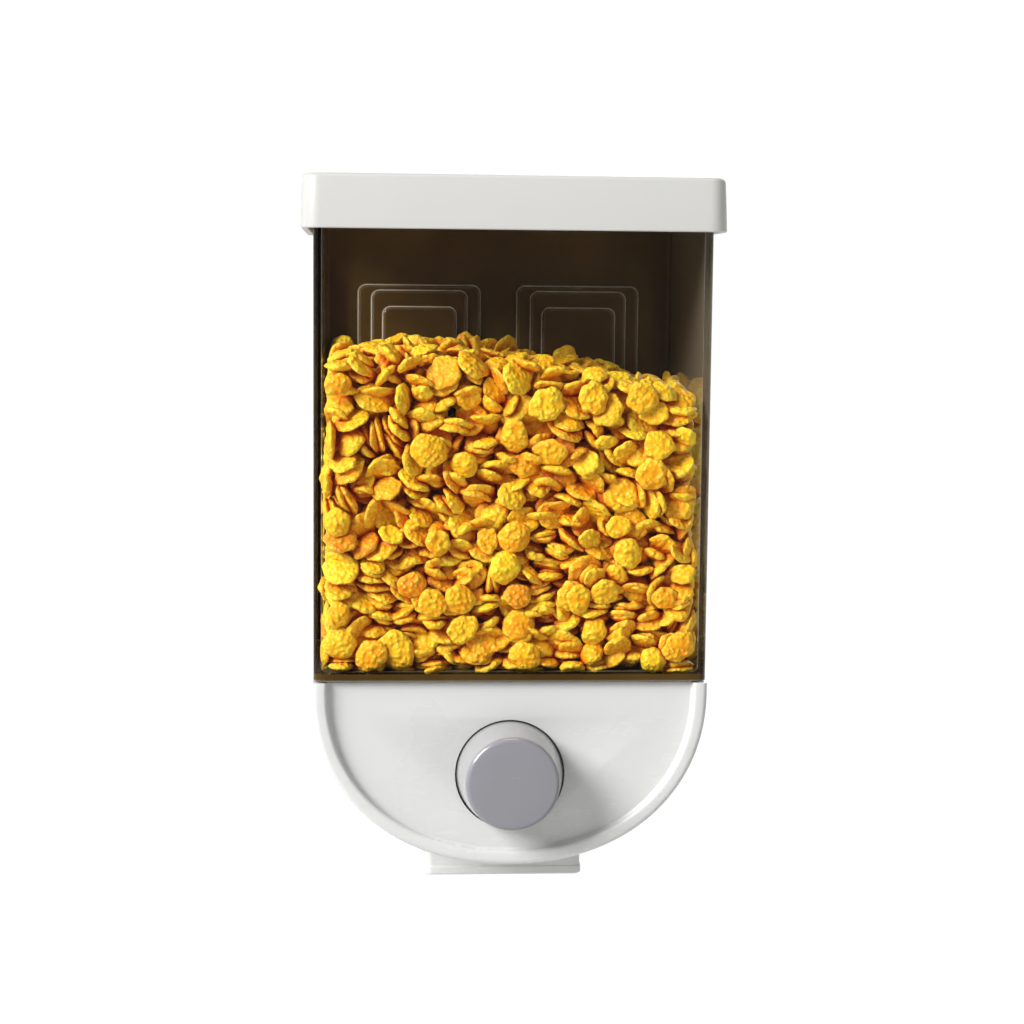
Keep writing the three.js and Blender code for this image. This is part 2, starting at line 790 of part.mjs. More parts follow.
function buttonCap() {
  const skin = BUTTON_SKIN;
  const face = -BUTTON_OUT;
  const ceiling = face + CEILING;
  const flange = DISH + PANEL + GAP;
  const profile = [
    [0, face],
    [BUTTON_R_FACE - 2, face],
    [BUTTON_R_FACE - 0.6, face + 0.5],
    [BUTTON_R_FACE, face + BUTTON_SHOULDER],
    [BUTTON_R_BASE, DISH],
    [BUTTON_R_BASE, flange],
    [BUTTON_R_FLANGE, flange],
    [BUTTON_R_FLANGE, flange + skin],
    [BUTTON_R_BASE - skin, flange + skin],
    [BUTTON_R_FACE - skin, face + BUTTON_SHOULDER + skin],
    [BUTTON_R_FACE - skin - 1.5, ceiling],
    [BUTTON_BOSS_R, ceiling],
    [BUTTON_BOSS_R, BOSS_END],
    [SPIGOT_R + GAP, BOSS_END],
    [SPIGOT_R + GAP, SOCKET_END],
    [0, SOCKET_END],
  ];
  return node('button_cap', turned(profile, 32), GREY);
}

function buttonPlunger() {
  const profile = [
    [0, SPIGOT_END],
    [SPIGOT_R, SPIGOT_END],
    [SPIGOT_R, BOSS_END + GAP],
    [SHAFT_R, BOSS_END + GAP],
    [SHAFT_R, SHAFT_END],
    [0, SHAFT_END],
  ];
  const footBack = GUIDE_FRONT + GUIDE_T + 1;
  const foot = block(-ARM_HALF, ARM_HALF, footBack, FOOT_FRONT, FOOT_LOW, FOOT_HIGH);
  return node('button_plunger', join(turned(profile, 20), foot), NATURAL);
}

class Coil extends THREE.Curve {
  constructor(axisLength, turns, radius) {
    super();
    Object.assign(this, { axisLength, turns, radius });
  }

  getPoint(t, target = new THREE.Vector3()) {
    const turn = t * this.turns * Math.PI * 2;
    const y = t * this.axisLength;
    return target.set(this.radius * Math.cos(turn), y, this.radius * Math.sin(turn));
  }
}

function buttonSpring() {
  const front = -BUTTON_OUT + CEILING + SPRING_WIRE + GAP;
  const rear = GUIDE_FRONT - SPRING_WIRE - GAP;
  const path = new Coil(rear - front, SPRING_TURNS, SPRING_R);
  const coil = wire(path, SPRING_WIRE, SPRING_TURNS * COIL_STEPS, 6);
  return node('button_spring', coil.translate([0, front, 0]), STEEL);
}

// ---------------------------------------------------------------- gate
// Modelled about the gate's pivot, which runs along x.

function gateFlap() {
  const barrel = rodX(0, 0, BARREL_R, -BARREL_HALF, BARREL_HALF, 20);
  const low = FLAP_TOP - FLAP_T;
  const plate = block(-FLAP_HALF, FLAP_HALF, FLAP_FRONT, FLAP_REAR, low, FLAP_TOP);
  const web = block(-BARREL_HALF, BARREL_HALF, 0, FLAP_FRONT + 1, low, 0);
  const arm = join(
    block(-ARM_HALF, ARM_HALF, -ARM_T / 2, ARM_T / 2, 0, ARM_LENGTH),
    rodX(0, ARM_LENGTH, ARM_TIP_R, -ARM_HALF, ARM_HALF, 12),
  ).rotate([ARM_LEAN, 0, 0]);
  const springRoom = block(...SPRING_ROOM, -4, FLAP_FRONT - 0.1, low - PAST, 4);
  const shape = cut(
    join(cut(join(barrel, web), springRoom), plate, arm),
    rodX(0, 0, PIN_R + GAP, -30, 30),
  );
  return node('gate_flap', shape, NATURAL);
}

function gatePad() {
  const outline = roundedRect(-PAD_HALF, PAD_HALF, PAD_FRONT, PAD_REAR, 1);
  const low = FLAP_TOP + GAP;
  return node('gate_pad', prismZ(outline, low, low + PAD_H), RUBBER);
}

function gatePin() {
  const headInner = PIN_RIGHT - PIN_HEAD_T;
  const head = rodX(0, 0, PIN_HEAD_R, headInner, PIN_RIGHT, 16);
  const shaft = rodX(0, 0, PIN_R, PIN_LEFT, headInner + PIN_HEAD_T / 2, 16);
  return node('gate_pin', join(shaft, head), STEEL);
}

function pinClip() {
  const disc = rodX(0, 0, CLIP_R, CLIP_LEFT, CLIP_RIGHT, 16);
  const hole = rodX(0, 0, PIN_R + GAP, CLIP_LEFT - PAST, CLIP_RIGHT + PAST, 16);
  return node('pin_clip', cut(disc, hole), STEEL);
}

// A torsion coil round the pin. One leg rests on the chute, the other lies under the flap.
function gateSpring() {
  const under = FLAP_TOP - FLAP_T - COIL_WIRE - GAP; // the height of the leg under the flap
  const points = [new THREE.Vector3(COIL_START, 4.6, 7), new THREE.Vector3(COIL_START, 3, 2.6)];
  for (let i = 0; i <= COIL_TURNS * COIL_STEPS; i += 1) {
    const turn = -(Math.PI * 2 * i) / COIL_STEPS;
    const x = COIL_START + ((COIL_END - COIL_START) * i) / (COIL_TURNS * COIL_STEPS);
    points.push(new THREE.Vector3(x, COIL_R * Math.cos(turn), COIL_R * Math.sin(turn)));
  }
  for (const [y, z] of [[2.6, -3.2], [3.2, under + 0.5], [4.6, under], [12, under]]) {
    points.push(new THREE.Vector3(COIL_END, y, z));
  }
  const path = new THREE.CatmullRomCurve3(points, false, 'centripetal');
  return node('gate_spring', wire(path, COIL_WIRE, 64, 6), STEEL);
}

// ---------------------------------------------------------------- assembly

function placed(y, z, ...children) {
  const group = new THREE.Group();
  group.position.set(0, y, z);
  group.add(...children);
  return group;
}

const group = new THREE.Group();
for (const { name, x } of SIDES) {
  const mount = new THREE.Group();
  mount.position.x = x;
  mount.add(hookPad(`hook_pad_${name}`), wallHook(`wall_hook_${name}`));
  group.add(mount);
}
group.add(container(), hopper(), baseHousing(), frontCover(), outletSpout());
group.add(lid(), lidGasket());
group.add(containerScrews(), coverScrews());
group.add(placed(COVER_FACE, BUTTON_Z, buttonCap(), buttonPlunger(), buttonSpring()));
const gateParts = [gateFlap(), gatePad(), gatePin(), pinClip(), gateSpring()];
group.add(placed(back(PIVOT_BACK), PIVOT_Z, ...gateParts));

export default group;
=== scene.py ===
"""A wall-mounted cereal dispenser, part filled with golden corn flakes.

The CAD model is the frame. The moulded shells, the button, the gasket, the springs and the
cereal are made here as fine meshes in the same place. Lengths are in millimetres up to the
call that makes a mesh, which turns them into metres.
"""

import json
import math
import random

import bmesh
import bpy
from mathutils import Euler, Matrix, Vector


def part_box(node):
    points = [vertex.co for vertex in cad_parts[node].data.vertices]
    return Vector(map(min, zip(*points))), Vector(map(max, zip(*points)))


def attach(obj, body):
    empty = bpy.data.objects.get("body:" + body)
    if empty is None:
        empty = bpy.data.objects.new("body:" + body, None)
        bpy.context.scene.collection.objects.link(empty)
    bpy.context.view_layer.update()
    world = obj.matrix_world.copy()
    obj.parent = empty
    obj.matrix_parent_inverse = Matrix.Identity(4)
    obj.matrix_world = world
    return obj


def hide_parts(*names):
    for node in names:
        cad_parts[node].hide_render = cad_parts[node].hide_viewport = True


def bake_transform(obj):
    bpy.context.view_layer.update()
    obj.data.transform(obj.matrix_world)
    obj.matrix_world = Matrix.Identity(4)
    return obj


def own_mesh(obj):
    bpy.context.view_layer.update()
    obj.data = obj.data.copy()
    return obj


MM = 0.001
GAP = 0.3  # between pieces that touch

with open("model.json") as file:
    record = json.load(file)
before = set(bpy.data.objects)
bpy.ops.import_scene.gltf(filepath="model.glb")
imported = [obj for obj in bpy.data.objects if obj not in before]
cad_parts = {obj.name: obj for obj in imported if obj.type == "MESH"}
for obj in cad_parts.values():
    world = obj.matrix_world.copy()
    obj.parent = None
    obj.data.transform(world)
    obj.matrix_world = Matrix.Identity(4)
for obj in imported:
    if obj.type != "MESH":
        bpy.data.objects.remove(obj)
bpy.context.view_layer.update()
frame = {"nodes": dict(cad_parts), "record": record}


def box_mm(node):
    """The lowest and highest corner of a CAD node, in millimetres."""
    low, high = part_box(node)
    return low / MM, high / MM


TANK_LOW, TANK_HIGH = box_mm("container")
LID_LOW, LID_HIGH = box_mm("lid")
COVER_LOW, COVER_HIGH = box_mm("front_cover")
HOUSING_LOW, HOUSING_HIGH = box_mm("base_housing")
SPOUT_LOW, SPOUT_HIGH = box_mm("outlet_spout")
BUTTON_LOW, BUTTON_HIGH = box_mm("button_cap")

# tank
TANK_WALL = 2.5
TANK_RADIUS = 4
TANK_BOTTOM = COVER_HIGH.z + GAP
FLOOR_TOP = TANK_BOTTOM + TANK_WALL
MOUTH = (-46, 46, -80.5, -10.5)  # the floor's opening: left, right, front and rear
POCKET_X = 26.9
POCKET_STEP = 1.8
POCKET_SKIN = 2
POCKET_RADIUS = 2.5
POCKETS = [(20.5, -20.5, 20.5), (16, -16, 18.7), (12.25, -13, 13.2)]  # half width, low, high
BAR = (-6.7, 4, 7.5)  # front, low and high of the bar that the wall hook holds
TANK_SCREWS = [(x, y) for x in (-52.5, 52.5) for y in (-74, -14)]

# lid
LID_BOTTOM = 37
LID_WALL = 2.2
LID_RADIUS = 6
LID_TAPER = 0.6
PLUG_INSET = 8.6  # from the lid's outside to its plug
PLUG_WALL = 1.8
PLUG_BOTTOM = 42

# base
BASE_HALF = COVER_HIGH.x
BASE_START = COVER_HIGH.z - 2.5  # where its straight sides turn into the curve
BASE_DROP = BASE_START - COVER_LOW.z
BASE_POWER = 2.15
BASE_WALL = 2.2
RIM = 4.3
DISH = 2.5
PANEL = 2.5
COVER_REAR = -79
COVER_SCREWS = [(-53.3, -113.2), (-38, -139), (38, -139), (53.3, -113.2)]
WELL_FRONT = -75
ABOVE_BASE = COVER_HIGH.z + 8  # where cuts that leave the base open at its top end

# screws: radii of their holes and of the plastic around them
SCREW_HOLE = 1.8
TANK_BOSS = 3.5
COVER_BOSS = 3.7
SHELF_HOLE = 3.9
WELL = 4
WELL_BORE = 3

# outlet
SPOUT_PORT = (-25.7, 25.7, -56.4, -15.8)  # the spout's outside: left, right, front and rear
SPOUT_WALL = 2
SPOUT_FLANGE = (-3, -149.8, -148.2)  # inset, low and high
PORT_PLAY = 0.4
PORT_LEVELS = (-165, -149)

# button
BUTTON_Z = (BUTTON_LOW.z + BUTTON_HIGH.z) / 2
BUTTON_HOLE = 17
BUTTON_FACE = 14.25  # radii of its face, side, flange and stem
BUTTON_SIDE = 16.5
BUTTON_FLANGE = 18.5
BUTTON_STEM = 4.5
BUTTON_BORE = 2.7
BUTTON_SKIN = 2.2
# The side's paler grey is painted light on the button's lit side.
FACE_ROUNDING = 1.3  # from the face to where the side's paler grey starts

# ------------------------------------------------------------------------- mesh building


def rounded_rectangle(x0, x1, y0, y1, radius, steps=8):
    """The outline of a rectangle with round corners, anticlockwise from its right side."""
    centres = [(x1, y1), (x0, y1), (x0, y0), (x1, y0)]
    points = []
    for quarter, (x, y) in enumerate(centres):
        cx = x - math.copysign(radius, x - (x0 + x1) / 2)
        cy = y - math.copysign(radius, y - (y0 + y1) / 2)
        for i in range(steps + 1):
            turn = math.radians(90 * (quarter + i / steps))
            points.append((cx + radius * math.cos(turn), cy + radius * math.sin(turn)))
    return points


def soften(corners, steps=5, closed=False):
    """A profile through (across, along, radius) corners, with an arc at each corner."""
    points = []
    last = len(corners) - 1
    for i, (x, y, radius) in enumerate(corners):
        if radius == 0 or (not closed and i in (0, last)):
            points.append((x, y))
            continue
        here = Vector((x, y))
        before = (Vector(corners[i - 1][:2]) - here)
        after = (Vector(corners[(i + 1) % len(corners)][:2]) - here)
        room = 0.499 * min(before.length, after.length)
        before.normalize()
        after.normalize()
        half = before.angle(after) / 2
        reach = min(radius / math.tan(half), room)
        radius = reach * math.tan(half)
        centre = here + (before + after).normalized() * radius / math.sin(half)
        start = here + before * reach - centre
        end = here + after * reach - centre
        sweep = start.angle(end)
        for k in range(steps + 1):
            share = k / steps
            spot = start * math.sin((1 - share) * sweep) + end * math.sin(share * sweep)
            points.append(tuple(centre + spot / math.sin(sweep)))
    return points


def make_object(name, points, faces):
    mesh = bpy.data.meshes.new(name)
    mesh.from_pydata([Vector(p) * MM for p in points], [], faces)
    made = bpy.data.objects.new(name, mesh)
    bpy.context.scene.collection.objects.link(made)
    return made


def skin(name, rings, closed=False):
    """A closed mesh through rings of points; its two ends are joined, or capped."""
    count = len(rings[0])
    faces = []
    for k in range(len(rings) if closed else len(rings) - 1):
        low = k * count
        high = (k + 1) % len(rings) * count
        for i in range(count):
            j = (i + 1) % count
            faces.append((low + i, low + j, high + j, high + i))
    if not closed:
        faces.append(tuple(range(count)))
        faces.append(tuple(range((len(rings) - 1) * count, len(rings) * count)))
    made = make_object(name, [p for ring in rings for p in ring], faces)
    edit(made, lambda bm: bmesh.ops.recalc_face_normals(bm, faces=bm.faces))
    return made


def edit(made, change):
    bm = bmesh.new()
    bm.from_mesh(made.data)
    change(bm)
    bm.to_mesh(made.data)
    bm.free()


def settle(made):
    """Puts what an object's modifiers make into its mesh."""
    graph = bpy.context.evaluated_depsgraph_get()
    mesh = bpy.data.meshes.new_from_object(made.evaluated_get(graph))
    made.modifiers.clear()
    made.data = mesh


def combine(made, tool, operation):
    """Joins tool to an object, or cuts it away, and removes tool."""
    step = made.modifiers.new("combine", "BOOLEAN")
    step.operation = operation
    step.solver = "EXACT"
    step.object = tool
    settle(made)
    bpy.data.objects.remove(tool)


def join(made, tool):
    combine(made, tool, "UNION")


def cut(made, tool):
    combine(made, tool, "DIFFERENCE")


def upright(outline, z):
    return [(x, y, z) for x, y in outline]


def facing(outline, y):
    return [(x, y, z) for x, z in outline]


def block(x0, x1, y0, y1, z0, z1, radius=0.3):
    outline = rounded_rectangle(x0, x1, y0, y1, radius, 2)
    return skin("block", [upright(outline, z0), upright(outline, z1)])


def rod(centre, axis, radius, start, end, sides=48):
    """A cylinder along the y or z axis."""
    rings = []
    for along in (start, end):
        ring = []
        for i in range(sides):
            turn = math.tau * i / sides
            a = centre[0] + radius * math.cos(turn)
            b = centre[1] + radius * math.sin(turn)
            ring.append((a, along, b) if axis == "y" else (a, b, along))
        rings.append(ring)
    return skin("rod", rings)


def round_edges(made, chosen, width, segments=3):
    """Rounds the sharp edges whose middle passes the test chosen."""

    def change(bm):
        picked = []
        for edge in bm.edges:
            middle = (edge.verts[0].co + edge.verts[1].co) / (2 * MM)
            if edge.is_manifold and edge.calc_face_angle(0) > 0.6 and chosen(middle):
                picked.append(edge)
        bmesh.ops.bevel(
            bm,
            geom=picked,
            offset=width * MM,
            segments=segments,
            profile=0.5,
            affect="EDGES",
            clamp_overlap=True,
        )

    edit(made, change)


def finish_piece(made, node, material, smooth=32):
    """Shades a piece, gives it a material and puts it in the place of its CAD node."""
    made.data.shade_smooth()
    made.data.set_sharp_from_angle(angle=math.radians(smooth))
    made.data.materials.clear()
    made.data.materials.append(material)
    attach(made, BODY_OF[node])
    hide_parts(node)
    return made


record = frame["record"]
BODY_OF = {n: body for body, nodes in record["behaviour"]["bodies"].items() for n in nodes}
SLOT_OF = {s["node"]: s["material_slot"] for s in record["subparts"]}

# ------------------------------------------------------------------------------ materials


class Nodes:
    """One material's node tree, with short calls for adding to it."""

    def __init__(self, name):
        self.material = bpy.data.materials.new(name)
        self.material.use_nodes = True
        self.tree = self.material.node_tree
        self.tree.nodes.clear()
        self.place = self.add("TexCoord").outputs["Object"]

    def add(self, kind, settings=None, **inputs):
        made = self.tree.nodes.new("ShaderNode" + kind)
        for key, value in (settings or {}).items():
            setattr(made, key, value)
        for key, value in inputs.items():
            self.put(made.inputs[key.replace("_", " ")], value)
        return made

    def put(self, socket, value):
        if isinstance(value, bpy.types.NodeSocket):
            self.tree.links.new(value, socket)
        else:
            socket.default_value = value

    def noise(self, scale, detail=3, stretch=None, roughness=0.5):
        place = self.place
        if stretch:
            place = self.add("Mapping", Vector=place, Scale=stretch).outputs[0]
        made = self.add("TexNoise", Vector=place, Scale=scale, Detail=detail, Roughness=roughness)
        return made.outputs["Fac"]

    def ramp(self, fac, *stops):
        """A colour ramp; each stop is (position, colour) or (position, grey)."""
        made = self.add("ValToRGB", Fac=fac)
        ramp = made.color_ramp
        for i, (position, colour) in enumerate(stops):
            if not isinstance(colour, tuple):
                colour = (colour, colour, colour)
            stop = ramp.elements[i] if i < 2 else ramp.elements.new(position)
            stop.position = position
            stop.color = (*colour, 1)
        return made.outputs["Color"]

    def value(self, fac, low, high, start=0.0, end=1.0):
        """fac between start and end, spread over low to high."""
        made = self.add("MapRange", Value=fac)
        for key, number in (("From Min", start), ("From Max", end), ("To Min", low), ("To Max", high)):
            made.inputs[key].default_value = number
        return made.outputs["Result"]

    def math(self, operation, a, b=0.0):
        made = self.add("Math", {"operation": operation})
        self.put(made.inputs[0], a)
        self.put(made.inputs[1], b)
        return made.outputs[0]

    def blend(self, fac, a, b, kind="MIX"):
        """A mix of two colours."""
        made = self.add("Mix", {"data_type": "RGBA", "blend_type": kind})
        self.put(made.inputs["Factor"], fac)
        for key, colour in ((6, a), (7, b)):
            if isinstance(colour, tuple):
                colour = (*colour, 1)
            self.put(made.inputs[key], colour)
        return made.outputs[2]

    def bump(self, height, strength, distance, normal=None):
        made = self.add("Bump", Height=height, Strength=strength, Distance=distance * MM)
        if normal:
            self.put(made.inputs["Normal"], normal)
        return made.outputs["Normal"]

    def sharpness(self):
        """0.5 on flat ground, more on outside edges, less in inside ones."""
        return self.add("NewGeometry").outputs["Pointiness"]

    def surface(self, shader):
        self.add("OutputMaterial", Surface=shader)
        return self.material


def moulded_plastic(name, colour, roughness, wear_and_crease_darkening=0.05, grain=0.012, scuffs=0.14, coat=0.0, sides=None):
    """Opaque moulded plastic: fine grain, faint flow marks, scuffs, paler worn edges and creases
    coloured a little darker.

    sides is the colour behind the button's face, a paler grey than the face: painted light on the
    button's strongly lit side.
    """
    n = Nodes(name)
    flow = n.noise(24, 4, (1, 1, 0.35))
    darker = tuple(c * 0.98 for c in colour)
    paler = tuple(min(1, c * 1.02 + 0.01) for c in colour)
    body = n.ramp(flow, (0.3, darker), (0.7, colour))
    edge = n.value(n.sharpness(), 0, wear_and_crease_darkening * 10, 0.52, 0.62)
    body = n.blend(edge, body, paler)
    # Creases are coloured a little darker.
    darker_in_creases = n.value(n.sharpness(), wear_and_crease_darkening * 4, 0, 0.38, 0.48)
    body = n.blend(darker_in_creases, body, tuple(c * 0.8 for c in colour))
    # Painted light: behind the face, the button's side is coloured a paler grey.
    if sides:
        y = n.add("SeparateXYZ", Vector=n.place).outputs["Y"]
        edge_y = BUTTON_LOW.y + FACE_ROUNDING
        behind = n.value(y, 0, 1, edge_y * MM, (edge_y + 0.4) * MM)
        body = n.blend(behind, body, sides)
    marks = n.value(n.noise(90, 6, (1, 0.25, 3), 0.7), 0, scuffs, 0.55, 0.85)
    patches = n.value(n.noise(14, 3), -0.05, 0.06)
    rough = n.math("ADD", n.math("ADD", marks, patches), roughness)
    fine = n.bump(n.noise(1900, 2), 0.5, grain)
    waves = n.bump(n.noise(45, 2), 0.2, 0.04, fine)
    shader = n.add("BsdfPrincipled", Base_Color=body, Roughness=rough, Normal=waves, IOR=1.5)
    shader.inputs["Coat Weight"].default_value = coat
    shader.inputs["Coat Roughness"].default_value = 0.15
    return n.surface(shader.outputs[0])


def tank_plastic():
    """Clear styrene, see-through from the front, with painted shade and light: an opaque dark brown
    back and floor for the darkness seen through them, dark where seen edge-on, pale grey at the most
    glancing angles, and painted lines on the rounded edges.
    """
    n = Nodes("clear_tank")
    _, y, z = n.add("SeparateXYZ", Vector=n.place).outputs
    # Painted shade: the back wall and the floor are an opaque dark brown, standing for the darkness
    # seen through the tank.
    back = n.value(y, 0, 1, -14.0 * MM, -13.5 * MM)
    floor = n.value(z, 1, 0, -98.9 * MM, -98.5 * MM)
    # Painted reflection: seen edge-on, the walls turn opaque and dark, standing for the dark room they
    # reflect.
    angle = n.add("LayerWeight", Blend=0.5).outputs["Facing"]
    edge_on_painted_dark = n.value(angle, 0, 1, 0.70, 0.84)
    # Rounded edges, found from the bevel normal, get painted edge lines.
    rounded = n.add("Bevel", {"samples": 6}, Radius=0.9 * MM).outputs[0]
    flat = n.add("NewGeometry").outputs["Normal"]
    turn = n.add("VectorMath", {"operation": "DOT_PRODUCT"})
    n.put(turn.inputs[0], rounded)
    n.put(turn.inputs[1], flat)
    edge = n.value(turn.outputs["Value"], 1, 0, 0.90, 0.995)
    lit = n.math("SUBTRACT", 1.0, n.add("LightPath").outputs["Is Shadow Ray"])
    dark = n.math("MAXIMUM", edge_on_painted_dark, n.math("MULTIPLY", edge, 0.55))
    dark = n.math("MAXIMUM", n.math("MAXIMUM", back, floor), n.math("MULTIPLY", dark, lit))
    # The dark layer's colour: painted shade, a mottled dark brown.
    painted_dark_and_glints = n.ramp(n.noise(30, 4), (0.3, (0.052, 0.028, 0.005)), (0.75, (0.098, 0.058, 0.015)))
    # Painted sheen: at the most glancing angles the dark layer turns pale grey.
    painted_dark_and_glints = n.blend(n.value(angle, 0, 1, 0.75, 0.95), painted_dark_and_glints, (0.20, 0.18, 0.135))
    # Painted highlights: pale lines on the pockets' edges in the back, grey lines on the other rounded
    # edges.
    painted_dark_and_glints = n.blend(n.math("MULTIPLY", edge, back), painted_dark_and_glints, (0.85, 0.80, 0.68))
    painted_dark_and_glints = n.blend(n.math("MULTIPLY", edge, n.math("SUBTRACT", 1.0, back)), painted_dark_and_glints, (0.24, 0.225, 0.19))
    rough = n.value(n.noise(60, 5, (1, 1, 4), 0.65), 0.04, 0.13, 0.4, 0.8)
    ripple = n.bump(n.noise(38, 2), 0.25, 0.04)
    painted_dark_layer = n.add("BsdfPrincipled", Base_Color=painted_dark_and_glints, Roughness=rough, Normal=ripple, IOR=1.5)
    painted_dark_layer.inputs["Specular IOR Level"].default_value = 0.3
    through = n.add("BsdfTransparent", Color=(0.99, 0.985, 0.975, 1))
    gloss = n.add("BsdfGlossy", Color=(1, 1, 1, 1), Roughness=rough, Normal=ripple)
    mirror = n.math("MULTIPLY", n.math("POWER", angle, 5.0), 0.48)
    mirror = n.math("MULTIPLY", n.math("ADD", mirror, 0.02), lit)
    clear = n.add("MixShader", Fac=mirror)
    n.put(clear.inputs[1], through.outputs[0])
    n.put(clear.inputs[2], gloss.outputs[0])
    whole = n.add("MixShader", Fac=dark)
    n.put(whole.inputs[1], clear.outputs[0])
    n.put(whole.inputs[2], painted_dark_layer.outputs[0])
    return n.surface(whole.outputs[0])


def rubber(name, colour, roughness=0.55):
    """Soft silicone: slightly translucent, dusty, with a fine skin."""
    n = Nodes(name)
    dust = n.value(n.noise(160, 5, None, 0.7), 0, 0.5, 0.5, 0.8)
    body = n.blend(dust, colour, tuple(c * 0.86 for c in colour))
    rough = n.math("ADD", n.value(n.noise(40, 3), -0.06, 0.1), roughness)
    fine = n.bump(n.noise(900, 3), 0.4, 0.02)
    shader = n.add("BsdfPrincipled", Base_Color=body, Roughness=rough, Normal=fine)
    shader.inputs["Subsurface Weight"].default_value = 0.2
    shader.inputs["Subsurface Radius"].default_value = (0.002, 0.0018, 0.0015)
    shader.inputs["Sheen Weight"].default_value = 0.15
    return n.surface(shader.outputs[0])


def zinc_steel():
    """Bright zinc plate: drawn along the wire, faint blue to yellow tint, small dull spots."""
    n = Nodes("steel")
    tint = n.ramp(n.noise(120, 4), (0.3, (0.52, 0.54, 0.58)), (0.7, (0.66, 0.64, 0.58)))
    spots = n.value(n.noise(420, 5, None, 0.7), 0, 1, 0.6, 0.72)
    body = n.blend(spots, tint, (0.33, 0.32, 0.3))
    rough = n.value(n.noise(300, 4, (4, 0.4, 4)), 0.2, 0.42)
    lines = n.bump(n.noise(1500, 2, (6, 0.3, 6)), 0.35, 0.01)
    shader = n.add("BsdfPrincipled", Base_Color=body, Roughness=rough, Normal=lines, Metallic=1.0)
    return n.surface(shader.outputs[0])


def hook_plastic():
    """Clear moulded plastic for the wall hooks, a little milky, with sink marks."""
    n = Nodes("hook_plastic")
    milk = n.ramp(n.noise(90, 4), (0.3, (0.62, 0.64, 0.65)), (0.7, (0.78, 0.79, 0.79)))
    rough = n.value(n.noise(70, 4), 0.12, 0.3)
    sink = n.bump(n.noise(160, 2), 0.3, 0.06)
    body = n.add("BsdfPrincipled", Base_Color=milk, Roughness=rough, Normal=sink)
    through = n.add("BsdfTransparent", Color=(0.93, 0.95, 0.95, 1))
    whole = n.add("MixShader", Fac=n.value(n.add("LayerWeight", Blend=0.4).outputs["Facing"], 0.45, 1))
    n.put(whole.inputs[1], through.outputs[0])
    n.put(whole.inputs[2], body.outputs[0])
    return n.surface(whole.outputs[0])


def foam_tape():
    """Grey closed-cell foam with an open skin of small cells, their pits darkened as painted shade."""
    n = Nodes("adhesive_foam")
    cells = n.add("TexVoronoi", Vector=n.place, Scale=1700.0).outputs["Distance"]
    # Painted shade: the cells' pits are coloured darker.
    body = n.ramp(cells, (0.0, (0.42, 0.42, 0.4)), (0.5, (0.62, 0.62, 0.59)))
    pits = n.bump(cells, 0.8, 0.12)
    rough = n.value(n.noise(200, 3), 0.75, 0.95)
    shader = n.add("BsdfPrincipled", Base_Color=body, Roughness=rough, Normal=pits)
    return n.surface(shader.outputs[0])


def toasted_corn():
    """Golden corn flakes: each flake's own toast, with painted light: pale yellow painted highlights on
    bubbles and ridges, orange painted shade between bubbles, in hollows and where flakes crowd each
    other.
    """
    n = Nodes("toasted_corn")
    toast = n.add("Attribute", {"attribute_name": "toast"}).outputs["Fac"]
    patches = n.noise(300, 5, None, 0.62)
    heat = n.math("ADD", n.math("MULTIPLY", toast, 0.45), n.math("MULTIPLY", patches, 0.55))
    body = n.ramp(
        heat,
        (0.28, (1.0, 0.70, 0.022)),
        (0.48, (1.0, 0.54, 0.008)),
        (0.64, (1.0, 0.38, 0.003)),
        (0.82, (0.72, 0.20, 0.002)),
    )
    bubbles = n.add("TexVoronoi", {"feature": "SMOOTH_F1"}, Vector=n.place, Scale=760.0)
    dome = n.value(bubbles.outputs["Distance"], 1, 0, 0.05, 0.7)
    # Painted highlight: pale yellow on the bubbles' tops. Painted shade: orange between them.
    body = n.blend(n.value(dome, 0, 0.6, 0.5, 0.9), body, (1.0, 0.86, 0.13))
    body = n.blend(n.value(dome, 0.45, 0, 0.12, 0.45), body, (0.92, 0.30, 0.002))
    # Painted highlight on ridges and painted shade in hollows, from pointiness.
    painted_ridge_highlight = n.value(n.sharpness(), 0, 0.6, 0.52, 0.62)
    body = n.blend(painted_ridge_highlight, body, (1.0, 0.84, 0.09))
    painted_hollow_shade = n.value(n.sharpness(), 0.75, 0, 0.36, 0.48)
    body = n.blend(painted_hollow_shade, body, (0.78, 0.20, 0.001))
    # Painted shade: deep orange where neighbouring flakes close a flake in, from ambient occlusion.
    openness = n.add("AmbientOcclusion", {"samples": 4, "only_local": True}, Distance=5 * MM)
    deep = n.value(openness.outputs["AO"], 1, 0, 0.25, 0.85)
    body = n.blend(deep, body, (0.60, 0.105, 0.001))
    crumbs = n.bump(n.noise(1500, 3, None, 0.6), 0.6, 0.12)
    blisters = n.bump(dome, 0.9, 0.65, crumbs)
    rough = n.value(n.noise(600, 3), 0.36, 0.65)
    shader = n.add("BsdfPrincipled", Base_Color=body, Roughness=rough, Normal=blisters)
    shader.inputs["Subsurface Weight"].default_value = 0.4
    shader.inputs["Subsurface Radius"].default_value = (0.0035, 0.0013, 0.0002)
    shader.inputs["Specular IOR Level"].default_value = 0.25
    return n.surface(shader.outputs[0])


def painted_shade_bed():
    """What shows deep between the flakes: a lumpy block coloured dark orange-brown, painted shade for
    the pile's shaded inside.
    """
    n = Nodes("painted_shade_bed")
    body = n.ramp(n.noise(260, 5), (0.35, (0.30, 0.07, 0.002)), (0.65, (0.72, 0.25, 0.006)))
    lumps = n.bump(n.noise(300, 4), 0.9, 1.2)
    shader = n.add("BsdfPrincipled", Base_Color=body, Roughness=0.8, Normal=lumps)
    return n.surface(shader.outputs[0])


WHITE = moulded_plastic("white_shell", (0.68, 0.68, 0.665), 0.27)
LID_WHITE = moulded_plastic("white_lid", (0.622, 0.617, 0.592), 0.3)
